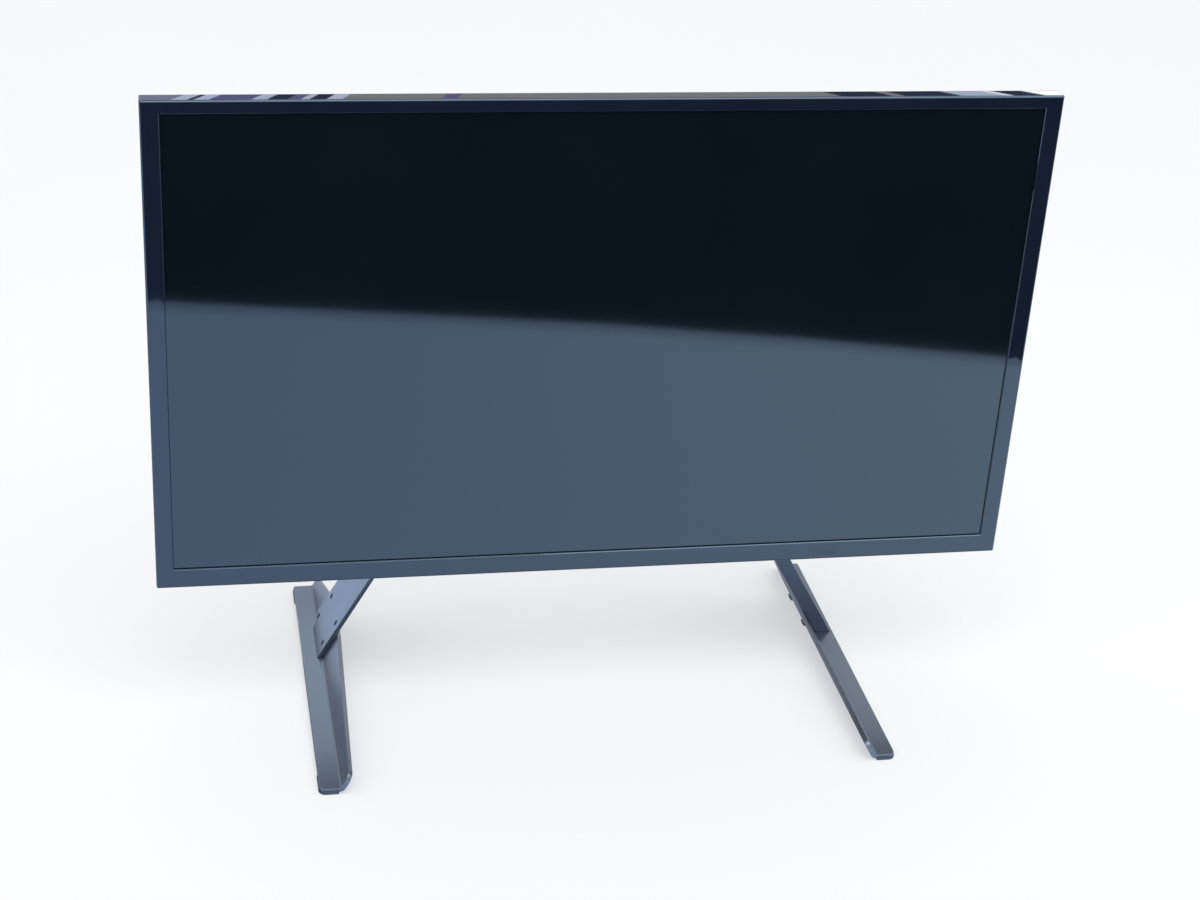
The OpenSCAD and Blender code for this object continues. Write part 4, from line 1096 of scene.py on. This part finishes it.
def add_small_parts():
    for node, width in SMALL_EDGES.items():
        softened(node, width)


# Stand

STAND_EDGE_WIDTH = 0.6 * MM
LEG_LEAN = math.radians(30)
FOOT_PLATE = 5 * MM
SEAT_GAP = 0.1 * MM
FOLD_ROOM = 3.7 * MM


def seated_upright(node):
    """The upright with its lower end brought down to the foot, and a chamfer there that clears the fold."""
    bm = form_of(node)
    low = min(v.co.z for v in bm.verts)
    drop = low - (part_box(node.replace("upright", "foot"))[0].z + FOOT_PLATE + SEAT_GAP)
    sole = next(f for f in bm.faces if all(abs(v.co.z - low) < WELD for v in f.verts))
    inner = min(abs(v.co.x) for v in sole.verts)
    corners = [v for v in sole.verts if abs(v.co.x) < inner + WELD]
    outer = [v for v in sole.verts if v not in corners]
    across = [e for e in sole.edges if len(set(e.verts).intersection(corners)) == 1]
    cuts = []
    for edge in across:
        corner = next(v for v in edge.verts if v in corners)
        cuts.append(bmesh.utils.edge_split(edge, corner, FOLD_ROOM / edge.calc_length())[1])
    bmesh.utils.face_split(sole, *cuts)
    for vert in outer:
        vert.co.x += math.copysign(drop * math.tan(LEG_LEAN), vert.co.x)
    for vert in outer + cuts:
        vert.co.z -= drop
    bm.normal_update()
    return bm


def add_stand():
    """The rails, feet and uprights in their paint, with a lighter paint on the rounded edges that is a
    painted highlight there and shows chips of wear.
    """
    finish = (MATERIALS["stand_paint"], STAND_EDGE_WEAR_AND_HIGHLIGHT)
    for node in ("vesa_rail_left", "vesa_rail_right", "foot_left", "foot_right"):
        softened(node, STAND_EDGE_WIDTH, *finish)
    for node in ("upright_left", "upright_right"):
        softened(node, STAND_EDGE_WIDTH, *finish, form=seated_upright)


add_camera()
add_stage()
finish_nodes()
add_small_parts()
add_bezel()
add_cover()
add_stand()
add_cover_screws()
add_shells("hdmi_sockets")
add_shells("usb_socket")
add_tongues("hdmi_sockets", SIGNAL_CONTACTS)
add_tongues("usb_socket", USB_CONTACTS, USB_TONGUE_RISE)
add_socket_rims()
add_jack_ring()
add_aerial_thread()
for button_name, mark_strokes in BUTTON_MARKS.items():
    add_mark(button_name, mark_strokes)
add_bare_plate()
